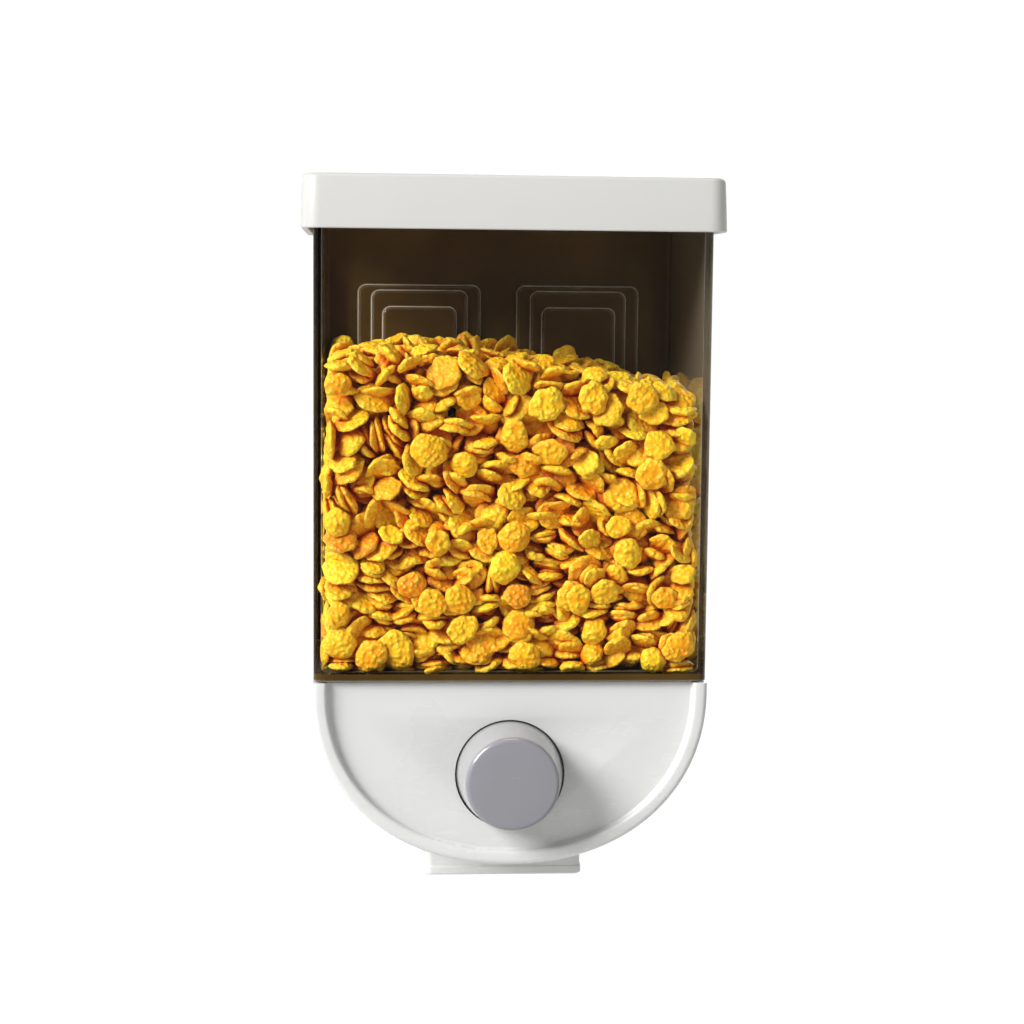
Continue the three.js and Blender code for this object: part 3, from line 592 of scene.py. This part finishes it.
# Its sides colour is painted light, paler than the face for the strong light on the button's side.
GREY = moulded_plastic(
    "grey_button",
    (0.275, 0.272, 0.297),
    0.20,
    wear_and_crease_darkening=0.04,
    coat=1.0,
    sides=(0.37, 0.367, 0.372),
)
NATURAL = moulded_plastic("inner_plastic", (0.66, 0.66, 0.61), 0.42, grain=0.02)
MATERIALS = {
    "clear_tank": tank_plastic(),
    "white_shell": WHITE,
    "grey_button": GREY,
    "inner_plastic": NATURAL,
    "silicone": rubber("silicone", (0.70, 0.68, 0.62)),
    "steel": zinc_steel(),
    "hook_plastic": hook_plastic(),
    "adhesive_foam": foam_tape(),
}

# ---------------------------------------------------------------------------- the tank


def tank_ring(inset, z):
    radius = max(TANK_RADIUS - inset, 1.5)
    return upright(
        rounded_rectangle(
            -TANK_HIGH.x + inset,
            TANK_HIGH.x - inset,
            TANK_LOW.y + inset,
            TANK_HIGH.y - inset,
            radius,
            10,
        ),
        z,
    )


def pocket_block(x, level, shrink, front, rear, edge):
    """A pocket step as a block that stands on the back wall, with a rounded front edge."""
    half, low, high = POCKETS[level]
    profile = soften([(0, rear, 0), (0, front, edge), (3, front, 0)], 4)
    rings = []
    for inset, y in profile:
        inset += shrink
        radius = max(POCKET_RADIUS - inset, 0.4)
        outline = rounded_rectangle(
            x - half + inset,
            x + half - inset,
            low + inset,
            high - inset,
            radius,
            6,
        )
        rings.append(facing(outline, y))
    return skin("pocket", rings)


def make_tank():
    wall = TANK_WALL
    profile = soften(
        [
            (0, TANK_BOTTOM, 0.8),
            (0, TANK_HIGH.z, 0.9),
            (wall, TANK_HIGH.z, 0.9),
            (wall, FLOOR_TOP, 1.2),
            (wall + 3, FLOOR_TOP, 0),
        ]
    )
    rings = [tank_ring(inset, z) for inset, z in profile[1:]]
    mouth = rounded_rectangle(*MOUTH, 4, 10)
    rings += [upright(mouth, FLOOR_TOP), upright(mouth, TANK_BOTTOM)]
    rings.append(tank_ring(0.8, TANK_BOTTOM))
    rings.append(tank_ring(0.24, TANK_BOTTOM + 0.24))
    tank = skin("tank_moulding", rings, closed=True)
    inner_face = TANK_HIGH.y - wall
    for x in (-POCKET_X, POCKET_X):
        for level in range(len(POCKETS)):
            depth = POCKET_STEP * (level + 1)
            join(tank, pocket_block(x, level, 0, inner_face - depth, TANK_HIGH.y - 1, 0.8))
        for level in range(len(POCKETS)):
            depth = POCKET_STEP * (level + 1)
            recess_face = TANK_HIGH.y - depth
            cut(tank, pocket_block(x, level, POCKET_SKIN, recess_face, TANK_HIGH.y + 1, 0.5))
        half = POCKETS[0][0] - POCKET_SKIN + 0.2
        front, low, high = BAR
        join(tank, block(x - half, x + half, front, TANK_HIGH.y, low, high))
    for x, y in TANK_SCREWS:
        join(tank, rod((x, y), "z", TANK_BOSS, TANK_LOW.z, TANK_BOTTOM + 1))
        cut(tank, rod((x, y), "z", SCREW_HOLE, TANK_LOW.z - 1, TANK_BOTTOM + 1.5))
    return finish_piece(tank, "container", MATERIALS["clear_tank"])


# ----------------------------------------------------------------------------- the lid


def lid_ring(inset, z):
    radius = max(LID_RADIUS - inset, 1)
    outline = rounded_rectangle(
        LID_LOW.x + inset,
        LID_HIGH.x - inset,
        LID_LOW.y + inset,
        LID_HIGH.y - inset,
        radius,
        10,
    )
    return upright(outline, z)


def make_lid():
    ceiling = LID_HIGH.z - LID_WALL
    plug_in = PLUG_INSET + PLUG_WALL
    profile = soften(
        [
            (14, LID_HIGH.z, 0),
            (LID_TAPER, LID_HIGH.z, 1.5),
            (0, LID_BOTTOM, 0.5),
            (LID_WALL, LID_BOTTOM, 0.5),
            (LID_WALL, ceiling, 1),
            (PLUG_INSET, ceiling, 0.8),
            (PLUG_INSET, PLUG_BOTTOM + 1.4, 0.2),
            (PLUG_INSET - 1, PLUG_BOTTOM + 1.4, 0.4),
            (PLUG_INSET - 1, PLUG_BOTTOM, 0.5),
            (plug_in, PLUG_BOTTOM, 0.5),
            (plug_in, ceiling, 1),
            (plug_in + 8, ceiling, 0),
        ]
    )
    lid = skin("lid_moulding", [lid_ring(inset, z) for inset, z in profile])
    return finish_piece(lid, "lid", LID_WHITE)


def make_gasket():
    """A soft ring with two thin lips that press on the tank's mouth."""
    low, high = box_mm("lid_gasket")
    outer = LID_HIGH.x - high.x
    middle = (low.z + high.z) / 2
    profile = soften(
        [
            (outer, low.z + 0.6, 0.25),
            (outer + 0.8, middle, 0.3),
            (outer, high.z - 0.6, 0.25),
            (outer + 0.5, high.z, 0.2),
            (outer + 1.7, high.z, 0.2),
            (outer + 1.7, low.z, 0.2),
            (outer + 0.5, low.z, 0.2),
        ],
        4,
        closed=True,
    )
    gasket = skin("gasket_ring", [lid_ring(i, z) for i, z in profile], closed=True)
    return finish_piece(gasket, "lid_gasket", MATERIALS["silicone"])


# ---------------------------------------------------------------------------- the base


def base_ring(inset, y, top=None):
    """The base's outline, moved in by inset at its sides and curve but not at its top."""
    top = COVER_HIGH.z if top is None else top
    half = BASE_HALF - inset
    drop = BASE_DROP - inset
    power = 2 / BASE_POWER
    steps = 120
    ring = [(-half, y, top), (half, y, top)]
    for i in range(steps + 1):
        turn = math.pi * i / steps
        across = math.copysign(abs(math.cos(turn)) ** power, math.cos(turn))
        down = abs(math.sin(turn)) ** power
        ring.append((half * across, y, BASE_START - drop * down))
    return ring


def base_solid(name, profile, top=None):
    return skin(name, [base_ring(inset, y, top) for inset, y in profile])


def make_cover():
    """The front: a raised rim round a dished panel, with a hole for the button."""
    face = COVER_LOW.y
    behind = face + DISH + PANEL
    body = soften([(9, COVER_REAR, 0), (0, COVER_REAR, 0.2), (0, face, 1.5), (9, face, 0)])
    cover = base_solid("cover_moulding", body)
    turns = [math.radians(15 * i) for i in range(7)]
    lip = [(RIM - 1 + math.sin(a), face + 1 - math.cos(a)) for a in turns]
    bowl = soften(
        [(RIM, face + 1.1, 0), (RIM + 0.2, face + DISH, 1.2), (RIM + 9, face + DISH, 0)],
        8,
    )
    dish = [(RIM - 1, face - 4)] + lip + bowl[1:]
    cut(cover, base_solid("dish", dish, ABOVE_BASE))
    cavity = soften(
        [(BASE_WALL, COVER_REAR + 2, 0), (BASE_WALL, behind, 1), (BASE_WALL + 6, behind, 0)]
    )
    cut(cover, base_solid("cavity", cavity, ABOVE_BASE))
    for x, z in COVER_SCREWS:
        join(cover, rod((x, z), "y", COVER_BOSS, face + DISH + 1.5, COVER_HIGH.y))
        cut(cover, rod((x, z), "y", SCREW_HOLE, behind + 1, COVER_HIGH.y + 1))
    hole = BUTTON_HOLE
    cut(cover, rod((0, BUTTON_Z), "y", hole, face - 5, face + 9, 128))
    top = COVER_HIGH.z
    round_edges(cover, lambda p: abs(p.z - top) < 0.05 and p.y < COVER_REAR - 1, 0.5)
    round_edges(cover, lambda p: abs(math.hypot(p.x, p.z - BUTTON_Z) - hole) < 0.1, 0.5)
    return finish_piece(cover, "front_cover", WHITE)


def make_housing():
    """The shell behind the cover: shelves for the tank's screws, wells for the cover's."""
    front, rear = HOUSING_LOW.y, HOUSING_HIGH.y
    body = soften([(9, front, 0), (0, front, 0.2), (0, rear, 1.6), (9, rear, 0)])
    housing = base_solid("housing_moulding", body)
    hollow = [(BASE_WALL, front - 1), (BASE_WALL, rear - BASE_WALL)]
    cut(housing, base_solid("hollow", hollow, ABOVE_BASE))
    shelf_top = COVER_HIGH.z - 2 - GAP
    for x, y in TANK_SCREWS:
        side = math.copysign(1, x)
        x0, x1 = sorted((side * 48.5, side * (BASE_HALF - 1)))
        join(housing, block(x0, x1, y - 4.7, y + 5, shelf_top - 2, shelf_top))
        cut(housing, rod((x, y), "z", SHELF_HOLE, shelf_top - 3, shelf_top + 1))
    for x, z in COVER_SCREWS:
        join(housing, rod((x, z), "y", WELL, WELL_FRONT, rear - 1))
        cut(housing, rod((x, z), "y", WELL_BORE, WELL_FRONT + 2, rear + 1))
        cut(housing, rod((x, z), "y", SCREW_HOLE, WELL_FRONT - 1, WELL_FRONT + 3))
    x0, x1, y0, y1 = SPOUT_PORT
    play = PORT_PLAY
    cut(housing, block(x0 - play, x1 + play, y0 - play, y1 + play, *PORT_LEVELS, 2.5))
    return finish_piece(housing, "base_housing", WHITE)


def make_spout():
    x0, x1, y0, y1 = SPOUT_PORT
    wall = SPOUT_WALL
    out, low, high = SPOUT_FLANGE

    def ring(inset, z):
        radius = max(3 - inset, 1)
        outline = rounded_rectangle(x0 + inset, x1 - inset, y0 + inset, y1 - inset, radius)
        return upright(outline, z)

    profile = soften(
        [
            (0, SPOUT_LOW.z, 0.7),
            (0, SPOUT_LOW.z + 2.6, 0.15),
            (0.35, SPOUT_LOW.z + 2.9, 0.15),
            (0.35, SPOUT_LOW.z + 7.4, 0.15),
            (0, SPOUT_LOW.z + 7.7, 0.15),
            (0, low, 0.3),
            (out, low, 0.3),
            (out, high, 0.3),
            (0, high, 0.3),
            (0, SPOUT_HIGH.z, 0.3),
            (wall, SPOUT_HIGH.z, 0.3),
            (wall, SPOUT_LOW.z, 0.7),
        ],
        4,
        closed=True,
    )
    spout = skin("spout_moulding", [ring(inset, z) for inset, z in profile], closed=True)
    return finish_piece(spout, "outlet_spout", WHITE)


# --------------------------------------------------------------------------- the button


def turned(name, profile, centre, sides=96):
    """Turns a profile of (radius, y) points about the button's axis."""
    rings = []
    for radius, y in profile:
        ring = []
        for i in range(sides):
            turn = math.tau * i / sides
            x = centre[0] + radius * math.cos(turn)
            ring.append((x, y, centre[1] + radius * math.sin(turn)))
        rings.append(ring)
    return skin(name, rings)


def make_button():
    face = BUTTON_LOW.y
    rear = BUTTON_HIGH.y
    cover = COVER_LOW.y
    flange = cover + DISH + PANEL + GAP
    profile = soften(
        [
            (6, face, 0),
            (BUTTON_FACE, face, 1.5),
            (BUTTON_SIDE, cover + DISH, 0.3),
            (BUTTON_SIDE, flange, 0.3),
            (BUTTON_FLANGE, flange, 0.4),
            (BUTTON_FLANGE, flange + 2, 0.4),
            (14.5, flange + 2, 0.4),
            (12.2, face + BUTTON_SKIN, 1.5),
            (BUTTON_STEM, face + BUTTON_SKIN, 0.5),
            (BUTTON_STEM, rear, 0.3),
            (BUTTON_BORE, rear, 0.2),
            (BUTTON_BORE, cover - 6, 0.2),
            (0.4, cover - 6, 0),
        ],
        6,
    )
    button = turned("button_moulding", profile, (0, BUTTON_Z))
    return finish_piece(button, "button_cap", GREY)


def wire(name, path, radius, sides=10):
    """A round wire along a path of points, as one closed mesh."""
    rings = []
    side = None
    for i, point in enumerate(path):
        here = Vector(point)
        ahead = Vector(path[min(i + 1, len(path) - 1)]) - Vector(path[max(i - 1, 0)])
        ahead.normalize()
        side = ahead.orthogonal() if side is None else side
        side = (side - ahead * side.dot(ahead)).normalized()
        over = ahead.cross(side)
        ring = []
        for k in range(sides):
            turn = math.tau * k / sides
            ring.append(here + (side * math.cos(turn) + over * math.sin(turn)) * radius)
        rings.append(ring)
    return skin(name, rings)


def make_button_spring():
    low, high = box_mm("button_spring")
    wire_radius = 0.5
    radius = (high.x - low.x) / 2 - wire_radius
    turns = 6
    steps = 36
    path = []
    start, end = low.y + wire_radius, high.y - wire_radius
    for i in range(turns * steps + 1):
        share = i / (turns * steps)
        turn = math.tau * i / steps
        pitch = min(1, max(0, (share - 0.06) / 0.88))  # the end turns lie nearly flat
        y = start + (end - start) * (0.06 * share + 0.94 * pitch)
        path.append((radius * math.cos(turn), y, BUTTON_Z + radius * math.sin(turn)))
    spring = wire("button_coil", path, wire_radius)
    finish_piece(spring, "button_spring", MATERIALS["steel"], 60)
    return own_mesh(spring)


def make_gate_spring():
    """The torsion spring on the gate's pin: one leg up on the hopper, one under the flap."""
    swing = next(j for j in record["behaviour"]["joints"] if j["name"] == "gate_swing")
    _, pivot_y, pivot_z = Vector(swing["pos_m"]) / MM
    wire_radius = 0.4
    radius = 2.45
    start, end = -13, -8.6
    turns = 4
    steps = 36
    under = -6  # of the lower leg, from the pivot
    upper_leg = soften([(4.6, 7, 0), (3, 2.6, 1.5), (radius, 0, 0)], 6)
    lower_leg = soften([(radius, 0, 0), (2.75, under, 1.6), (12, under, 0)], 8)
    path = [(start, y, z) for y, z in upper_leg[:-1]]
    for i in range(turns * steps + 1):
        turn = -math.tau * i / steps
        x = start + (end - start) * i / (turns * steps)
        path.append((x, radius * math.cos(turn), radius * math.sin(turn)))
    path += [(end, y, z) for y, z in lower_leg[1:]]
    path = [(x, y + pivot_y, z + pivot_z) for x, y, z in path]
    spring = wire("gate_coil", path, wire_radius)
    spring.data.shade_smooth()
    spring.data.set_sharp_from_angle(angle=math.radians(60))
    spring.data.materials.append(MATERIALS["steel"])
    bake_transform(spring)
    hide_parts("gate_spring")


# --------------------------------------------------------------------------- the cereal

CEREAL_HALF = 57.4
CEREAL_FRONT = -84.9
CEREAL_REAR = -8
FLAKE_SIZES = (4.0, 4.4, 4.8, 5.2, 5.7)  # radii
FLAKE_COUNT = 2300
FLAKE_THICK = 3.1
FLAKE_PUFF = 0.29  # half the thickness of a flake's middle, where its radius is 1
FLAKE_SHAPES = 12
TIPPED_SHARE = 0.68  # of the flakes that lie flat against the tank's front
# keeps each exported mesh below the size at which it is thinned
CEREAL_GROUPS = 8  # the flakes are split into this many meshes, to keep each one small
CORE = (-49, 49, -70, -17, FLOOR_TOP, -22)
SURFACE = [(-58, -4), (-33, 0), (-5, -2), (15, -5), (40, -10), (58, -14)]  # x and height


def cereal_top(x, y):
    """The height of the cereal's surface: highest left of the middle, falling to the right."""
    front = SURFACE[-1][1]
    for (x0, z0), (x1, z1) in zip(SURFACE, SURFACE[1:]):
        if x <= x1:
            front = z0 + (z1 - z0) * max(0, x - x0) / (x1 - x0)
            break
    return front + 3.5 * (y - CEREAL_FRONT) / (CEREAL_REAR - CEREAL_FRONT)


def poured_flakes(rng):
    """Drops the flakes into the tank as rigid discs and returns where they come to rest."""
    scale = 0.1  # scene units to the millimetre, a size that the solver likes
    frames = 70
    scene = bpy.context.scene
    bpy.ops.rigidbody.world_add()
    world = scene.rigidbody_world
    world.collection = bpy.data.collections.new("poured")
    world.substeps_per_frame = 4
    world.solver_iterations = 8
    world.point_cache.frame_start = 1
    world.point_cache.frame_end = frames
    scene.frame_start = 1
    scene.frame_end = frames
    scene.gravity = (0, 0, -90)
    made = []

    def body(mesh, kind, friction):
        thing = bpy.data.objects.new("body", mesh)
        scene.collection.objects.link(thing)
        world.collection.objects.link(thing)
        rigid = thing.rigid_body
        rigid.type = kind
        rigid.collision_shape = "CONVEX_HULL"
        rigid.friction = friction
        rigid.restitution = 0
        rigid.use_margin = True
        rigid.collision_margin = 0.01
        made.append(thing)
        return thing

    def wall(x0, x1, y0, y1, z0, z1):
        mesh = bpy.data.meshes.new("wall")
        corners = [Vector((x, y, z)) * scale for x in (x0, x1) for y in (y0, y1) for z in (z0, z1)]
        sides = [(0, 1, 3, 2), (4, 6, 7, 5), (0, 4, 5, 1), (2, 3, 7, 6), (0, 2, 6, 4), (1, 5, 7, 3)]
        mesh.from_pydata(corners, [], sides)
        body(mesh, "PASSIVE", 0.45)

    half, front, rear = CEREAL_HALF, CEREAL_FRONT, CEREAL_REAR
    thick = 30
    top = 900
    wall(-half - thick, -half, front - thick, rear + thick, FLOOR_TOP - thick, top)
    wall(half, half + thick, front - thick, rear + thick, FLOOR_TOP - thick, top)
    wall(-half - thick, half + thick, front - thick, front, FLOOR_TOP - thick, top)
    wall(-half - thick, half + thick, rear, rear + thick, FLOOR_TOP - thick, top)
    wall(-half - thick, half + thick, front - thick, rear + thick, FLOOR_TOP - thick, FLOOR_TOP)
    wall(*CORE)
    for x in (-POCKET_X, POCKET_X):
        wall(x - 20.5, x + 20.5, -12.4, rear + 1, -20.5, 20.5)

    def disc(radius):
        sides = 9
        levels = ((-0.5, 0.62), (-0.22, 1), (0.22, 1), (0.5, 0.62))
        points = []
        for height, share in levels:
            for i in range(sides):
                turn = math.tau * i / sides
                spot = Vector((math.cos(turn) * share * radius, math.sin(turn) * share * radius, 0))
                spot.z = height * FLAKE_THICK
                points.append(spot * scale)
        mesh = bpy.data.meshes.new("disc")
        faces = [tuple(range(sides))[::-1], tuple(range(3 * sides, 4 * sides))]
        for k in range(3):
            for i in range(sides):
                j = (i + 1) % sides
                faces.append((k * sides + i, k * sides + j, (k + 1) * sides + j, (k + 1) * sides + i))
        mesh.from_pydata(points, [], faces)
        return mesh

    discs = [disc(radius) for radius in FLAKE_SIZES]
    columns, rows = 9, 6
    flakes = []
    for k in range(FLAKE_COUNT):
        layer, rest = divmod(k, columns * rows)
        row, column = divmod(rest, columns)
        size = rng.randrange(len(discs))
        x = (column + 0.5) / columns * 2 * half - half + rng.uniform(-0.6, 0.6)
        y = (row + 0.5) / rows * (rear - front) + front + rng.uniform(-0.6, 0.6)
        flake = body(discs[size], "ACTIVE", 0.5)
        flake.location = Vector((x, y, FLOOR_TOP + 9 + layer * 11.5)) * scale
        flake.rotation_euler = (rng.gauss(0, 0.45), rng.gauss(0, 0.45), rng.uniform(0, 6.28))
        flake.rigid_body.linear_damping = 0.1
        flake.rigid_body.angular_damping = 0.7
        flakes.append((flake, FLAKE_SIZES[size]))
    for step in range(1, frames + 1):
        scene.frame_set(step)
    graph = bpy.context.evaluated_depsgraph_get()
    found = []
    for flake, size in flakes:
        place = flake.evaluated_get(graph).matrix_world.copy()
        place.translation = place.translation / scale
        found.append((place, size))
    bpy.ops.rigidbody.world_remove()
    for thing in made:
        bpy.data.objects.remove(thing)
    scene.frame_set(1)
    return found


def flake_shape(rng):
    """One flake of radius 1 and its thickness: a puffed, bent disc with blisters."""
    around, inwards = 28, 7
    lobes = [(rng.uniform(0.015, 0.05), k, rng.uniform(0, 6.3)) for k in (2, 3, 5, 8)]
    bend = rng.uniform(-0.36, 0.36)
    twist = rng.uniform(0, 3.1)
    cup = rng.uniform(-0.14, 0.16)
    blisters = []
    for _ in range(rng.randrange(22, 32)):
        reach = math.sqrt(rng.uniform(0, 0.9))
        turn = rng.uniform(0, 6.3)
        spot = Vector((reach * math.cos(turn), reach * math.sin(turn)))
        blisters.append((spot, rng.uniform(0.14, 0.3), rng.uniform(-0.08, 0.12), rng.choice((-1, 1))))

    def height(x, y, side):
        lift = bend * ((x * math.cos(twist) + y * math.sin(twist)) ** 2 - 0.3) + cup * (x * x + y * y)
        for spot, width, tall, which in blisters:
            if which == side:
                gap = (Vector((x, y)) - spot).length_squared
                lift += side * tall * math.exp(-gap / (width * width))
        return lift

    points = []
    faces = []
    levels = [(1 - (k / inwards) ** 1.15, side) for side in (1, -1) for k in range(inwards)]
    for share, side in levels:
        ridge = 0.02 * math.exp(-(((share - 0.74) / 0.16) ** 2))
        puff = (FLAKE_PUFF + ridge) * (1 - share ** 2.6) ** 0.6 if share < 1 else 0
        for i in range(around):
            turn = math.tau * i / around
            edge = 1 + sum(size * math.sin(k * turn + start) for size, k, start in lobes)
            x = share * edge * math.cos(turn)
            y = share * edge * math.sin(turn)
            if share < 1 or side > 0:
                points.append((x, y, height(x, y, side if share < 1 else 0) + side * puff))
    top_centre = len(points)
    points.append((0, 0, height(0, 0, 1) + FLAKE_PUFF))
    points.append((0, 0, height(0, 0, -1) - FLAKE_PUFF))

    def strip(low, high, flip):
        for i in range(around):
            j = (i + 1) % around
            face = (low + i, low + j, high + j, high + i)
            faces.append(face[::-1] if flip else face)

    for k in range(inwards - 1):
        strip(k * around, (k + 1) * around, False)
    below = inwards * around
    strip(0, below, True)
    for k in range(inwards - 2):
        strip(below + k * around, below + (k + 1) * around, True)
    last_top = (inwards - 1) * around
    last_low = below + (inwards - 2) * around
    for i in range(around):
        j = (i + 1) % around
        faces.append((last_top + i, last_top + j, top_centre))
        faces.append((last_low + j, last_low + i, top_centre + 1))
    return points, faces


def seen_from_outside(spot):
    """Whether a flake is near enough to the tank's walls or the cereal's surface to show."""
    near_front = spot.y < CEREAL_FRONT + 17
    near_side = abs(spot.x) > CEREAL_HALF - 11 or spot.y > CEREAL_REAR - 11
    near_top = spot.z > cereal_top(spot.x, spot.y) - 16
    near_floor = spot.z < FLOOR_TOP + 7
    return near_front or near_side or near_top or near_floor


def tipped(rng, place, size):
    """Tips some of the flakes that lie flat against the tank's front, so that edges show too."""
    spot = place.translation.copy()
    facing_out = abs((place.to_3x3() @ Vector((0, 0, 1))).y)
    if facing_out < 0.7 or spot.y > CEREAL_FRONT + 6 or rng.random() > TIPPED_SHARE:
        return place
    tilt = math.radians(rng.uniform(50, 85)) * rng.choice((-1, 1))
    turn = Matrix.Rotation(rng.gauss(0, 0.35), 4, "Y") @ Matrix.Rotation(tilt, 4, "X")
    spot.y = CEREAL_FRONT + size * math.sin(abs(tilt)) + 1.3
    return Matrix.Translation(spot) @ turn @ place.to_3x3().to_4x4()


def make_cereal():
    rng = random.Random(7)
    places = poured_flakes(rng)
    places.sort(key=lambda item: item[0].translation.z)
    shapes = [flake_shape(rng) for _ in range(FLAKE_SHAPES)]
    groups = CEREAL_GROUPS
    shown = []
    points = [[] for _ in range(groups)]
    faces = [[] for _ in range(groups)]
    toasts = [[] for _ in range(groups)]
    for place, size in places:
        spot = place.translation
        inside = abs(spot.x) < CEREAL_HALF and CEREAL_FRONT < spot.y < CEREAL_REAR
        if not inside or spot.z < FLOOR_TOP or spot.z > cereal_top(spot.x, spot.y):
            continue
        if not seen_from_outside(spot):
            continue
        shown.append((tipped(rng, place, size), size))
    for number, (place, size) in enumerate(shown):
        group = number * groups // len(shown)
        shape_points, shape_faces = shapes[rng.randrange(len(shapes))]
        stretch = Matrix.Diagonal((size * 1.04, size * rng.uniform(0.84, 1.04), FLAKE_THICK * 1.42, 1))
        turn = place @ stretch
        start = len(points[group])
        points[group] += [turn @ Vector(p) for p in shape_points]
        faces[group] += [tuple(start + i for i in face) for face in shape_faces]
        toasts[group] += [min(1, max(0, rng.gauss(0.45, 0.22)))] * len(shape_points)
    material = toasted_corn()
    for group in range(groups):
        cereal = make_object(f"cereal_{group + 1}", points[group], faces[group])
        toast = cereal.data.attributes.new("toast", "FLOAT", "POINT")
        toast.data.foreach_set("value", toasts[group])
        cereal.data.shade_smooth()
        cereal.data.materials.append(material)
        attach(cereal, "dispenser")
    # The core is painted shade: a dark block that stands for the pile's shaded inside.
    core = block(*CORE[:5], CORE[5] - 4, 10)
    core.name = "cereal_core"
    core.data.shade_smooth()
    core.data.set_sharp_from_angle(angle=0.5)
    core.data.materials.append(painted_shade_bed())
    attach(core, "dispenser")


# --------------------------------------------------------------------------- CAD pieces


def dress_cad_nodes():
    """Gives each CAD node that stays its material and finely rounded edges."""
    for name, node in frame["nodes"].items():
        if node.hide_render:
            continue
        node.data.materials.clear()
        node.data.materials.append(MATERIALS[SLOT_OF[name]])
        weld = node.modifiers.new("weld", "WELD")
        weld.merge_threshold = 0.002 * MM
        bevel = node.modifiers.new("edges", "BEVEL")
        bevel.width = 0.15 * MM
        bevel.segments = 2
        bevel.limit_method = "ANGLE"
        bevel.angle_limit = math.radians(40)


# ------------------------------------------------------------------------------- studio


def aim(thing, position, target):
    thing.location = position
    thing.rotation_euler = (Vector(target) - Vector(position)).to_track_quat("-Z", "Y").to_euler()


def area_light(name, position, size, power, target=(0, -0.045, -0.06), height=None):
    light = bpy.data.lights.new(name, "AREA")
    light.energy = power
    light.size = size
    if height:
        light.shape = "RECTANGLE"
        light.size_y = height
    lamp = bpy.data.objects.new(name, light)
    bpy.context.scene.collection.objects.link(lamp)
    aim(lamp, position, target)
    lamp.visible_camera = False
    return lamp


def light_only(lamp, lit, state):
    """Makes a lamp light one piece only (INCLUDE), or all pieces but that one (EXCLUDE)."""
    group = bpy.data.collections.new(lamp.name + "_lights")
    group.objects.link(lit)
    lamp.light_linking.receiver_collection = group
    group.collection_objects[0].light_linking.link_state = state


def make_camera():
    """The main view: nearly level, from a little left of the middle."""
    lens = bpy.data.cameras.new("camera")
    lens.lens = 77.1
    lens.sensor_width = 36
    lens.clip_start = 0.01
    camera = bpy.data.objects.new("camera", lens)
    bpy.context.scene.collection.objects.link(camera)
    yaw, pitch, roll = (math.radians(a) for a in (3.89, 5.59, 0.557))
    turn = Matrix.Rotation(-yaw, 4, "Z") @ Matrix.Rotation(math.pi / 2 - pitch, 4, "X")
    turn = turn @ Matrix.Rotation(roll, 4, "Z")
    camera.matrix_world = Matrix.Translation(Vector((-45.5, -754.2, 16.8)) * MM) @ turn
    bpy.context.scene.camera = camera


def make_studio(lid):
    """White to the camera, dim in mirrors, lit from the left; the lid has its own lamp."""
    world = bpy.data.worlds.new("studio")
    bpy.context.scene.world = world
    world.use_nodes = True
    nodes = world.node_tree.nodes
    links = world.node_tree.links
    nodes.clear()

    def background(colour, strength=1.0):
        made = nodes.new("ShaderNodeBackground")
        made.inputs["Color"].default_value = (*colour, 1)
        made.inputs["Strength"].default_value = strength
        return made

    path = nodes.new("ShaderNodeLightPath")
    white = background((1, 1, 1), 1.05)
    room = background((1, 1, 0.985), 0.20)
    dim = background((1, 1, 1))
    heading = nodes.new("ShaderNodeTexCoord")
    parts = nodes.new("ShaderNodeSeparateXYZ")
    behind = nodes.new("ShaderNodeMapRange")
    for key, number in (("From Min", -0.1), ("From Max", 0.5), ("To Min", 0.12), ("To Max", 0.8)):
        behind.inputs[key].default_value = number
    links.new(heading.outputs["Generated"], parts.inputs[0])
    links.new(parts.outputs["Y"], behind.inputs["Value"])
    links.new(behind.outputs[0], dim.inputs["Strength"])
    seen = nodes.new("ShaderNodeMixShader")
    mirrored = nodes.new("ShaderNodeMixShader")
    out = nodes.new("ShaderNodeOutputWorld")
    links.new(path.outputs["Is Glossy Ray"], mirrored.inputs["Fac"])
    links.new(room.outputs[0], mirrored.inputs[1])
    links.new(dim.outputs[0], mirrored.inputs[2])
    links.new(path.outputs["Is Camera Ray"], seen.inputs["Fac"])
    links.new(mirrored.outputs[0], seen.inputs[1])
    links.new(white.outputs[0], seen.inputs[2])
    links.new(seen.outputs[0], out.inputs["Surface"])
    key = area_light("key", (-2.6, -1.62, 1.76), 1.6, 192)
    lid_key = area_light("lid_key", (-2.5, -2.0, 1.4), 1.6, 152)
    light_only(key, lid, "EXCLUDE")
    light_only(lid_key, lid, "INCLUDE")
    area_light("top", (0, -0.36, 1.6), 0.6, 4)
    area_light("fill", (1.2, -0.9, 0.1), 1.0, 1.5)
    area_light("back", (0.9, 2.6, 1.0), 1.5, 25)
    bpy.context.scene.view_settings.view_transform = "Standard"

    floor_mesh = bpy.data.meshes.new("floor")
    x, near, far, z = 1.2, -1.1, 0.27, -0.36
    corners = [(-x, near, z), (x, near, z), (x, far, z), (-x, far, z)]
    floor_mesh.from_pydata(corners, [], [(0, 1, 2, 3)])
    floor = bpy.data.objects.new("floor", floor_mesh)
    bpy.context.scene.collection.objects.link(floor)
    n = Nodes("pale_floor")
    tone = n.ramp(n.noise(3, 2), (0.3, 0.80), (0.7, 0.82))
    floor_mesh.materials.append(n.surface(n.add("BsdfDiffuse", Color=tone).outputs[0]))
    floor.visible_glossy = False


make_camera()
make_tank()
make_studio(make_lid())
make_gasket()
make_cover()
make_housing()
make_spout()
make_button()
make_button_spring()
make_gate_spring()
make_cereal()
dress_cad_nodes()
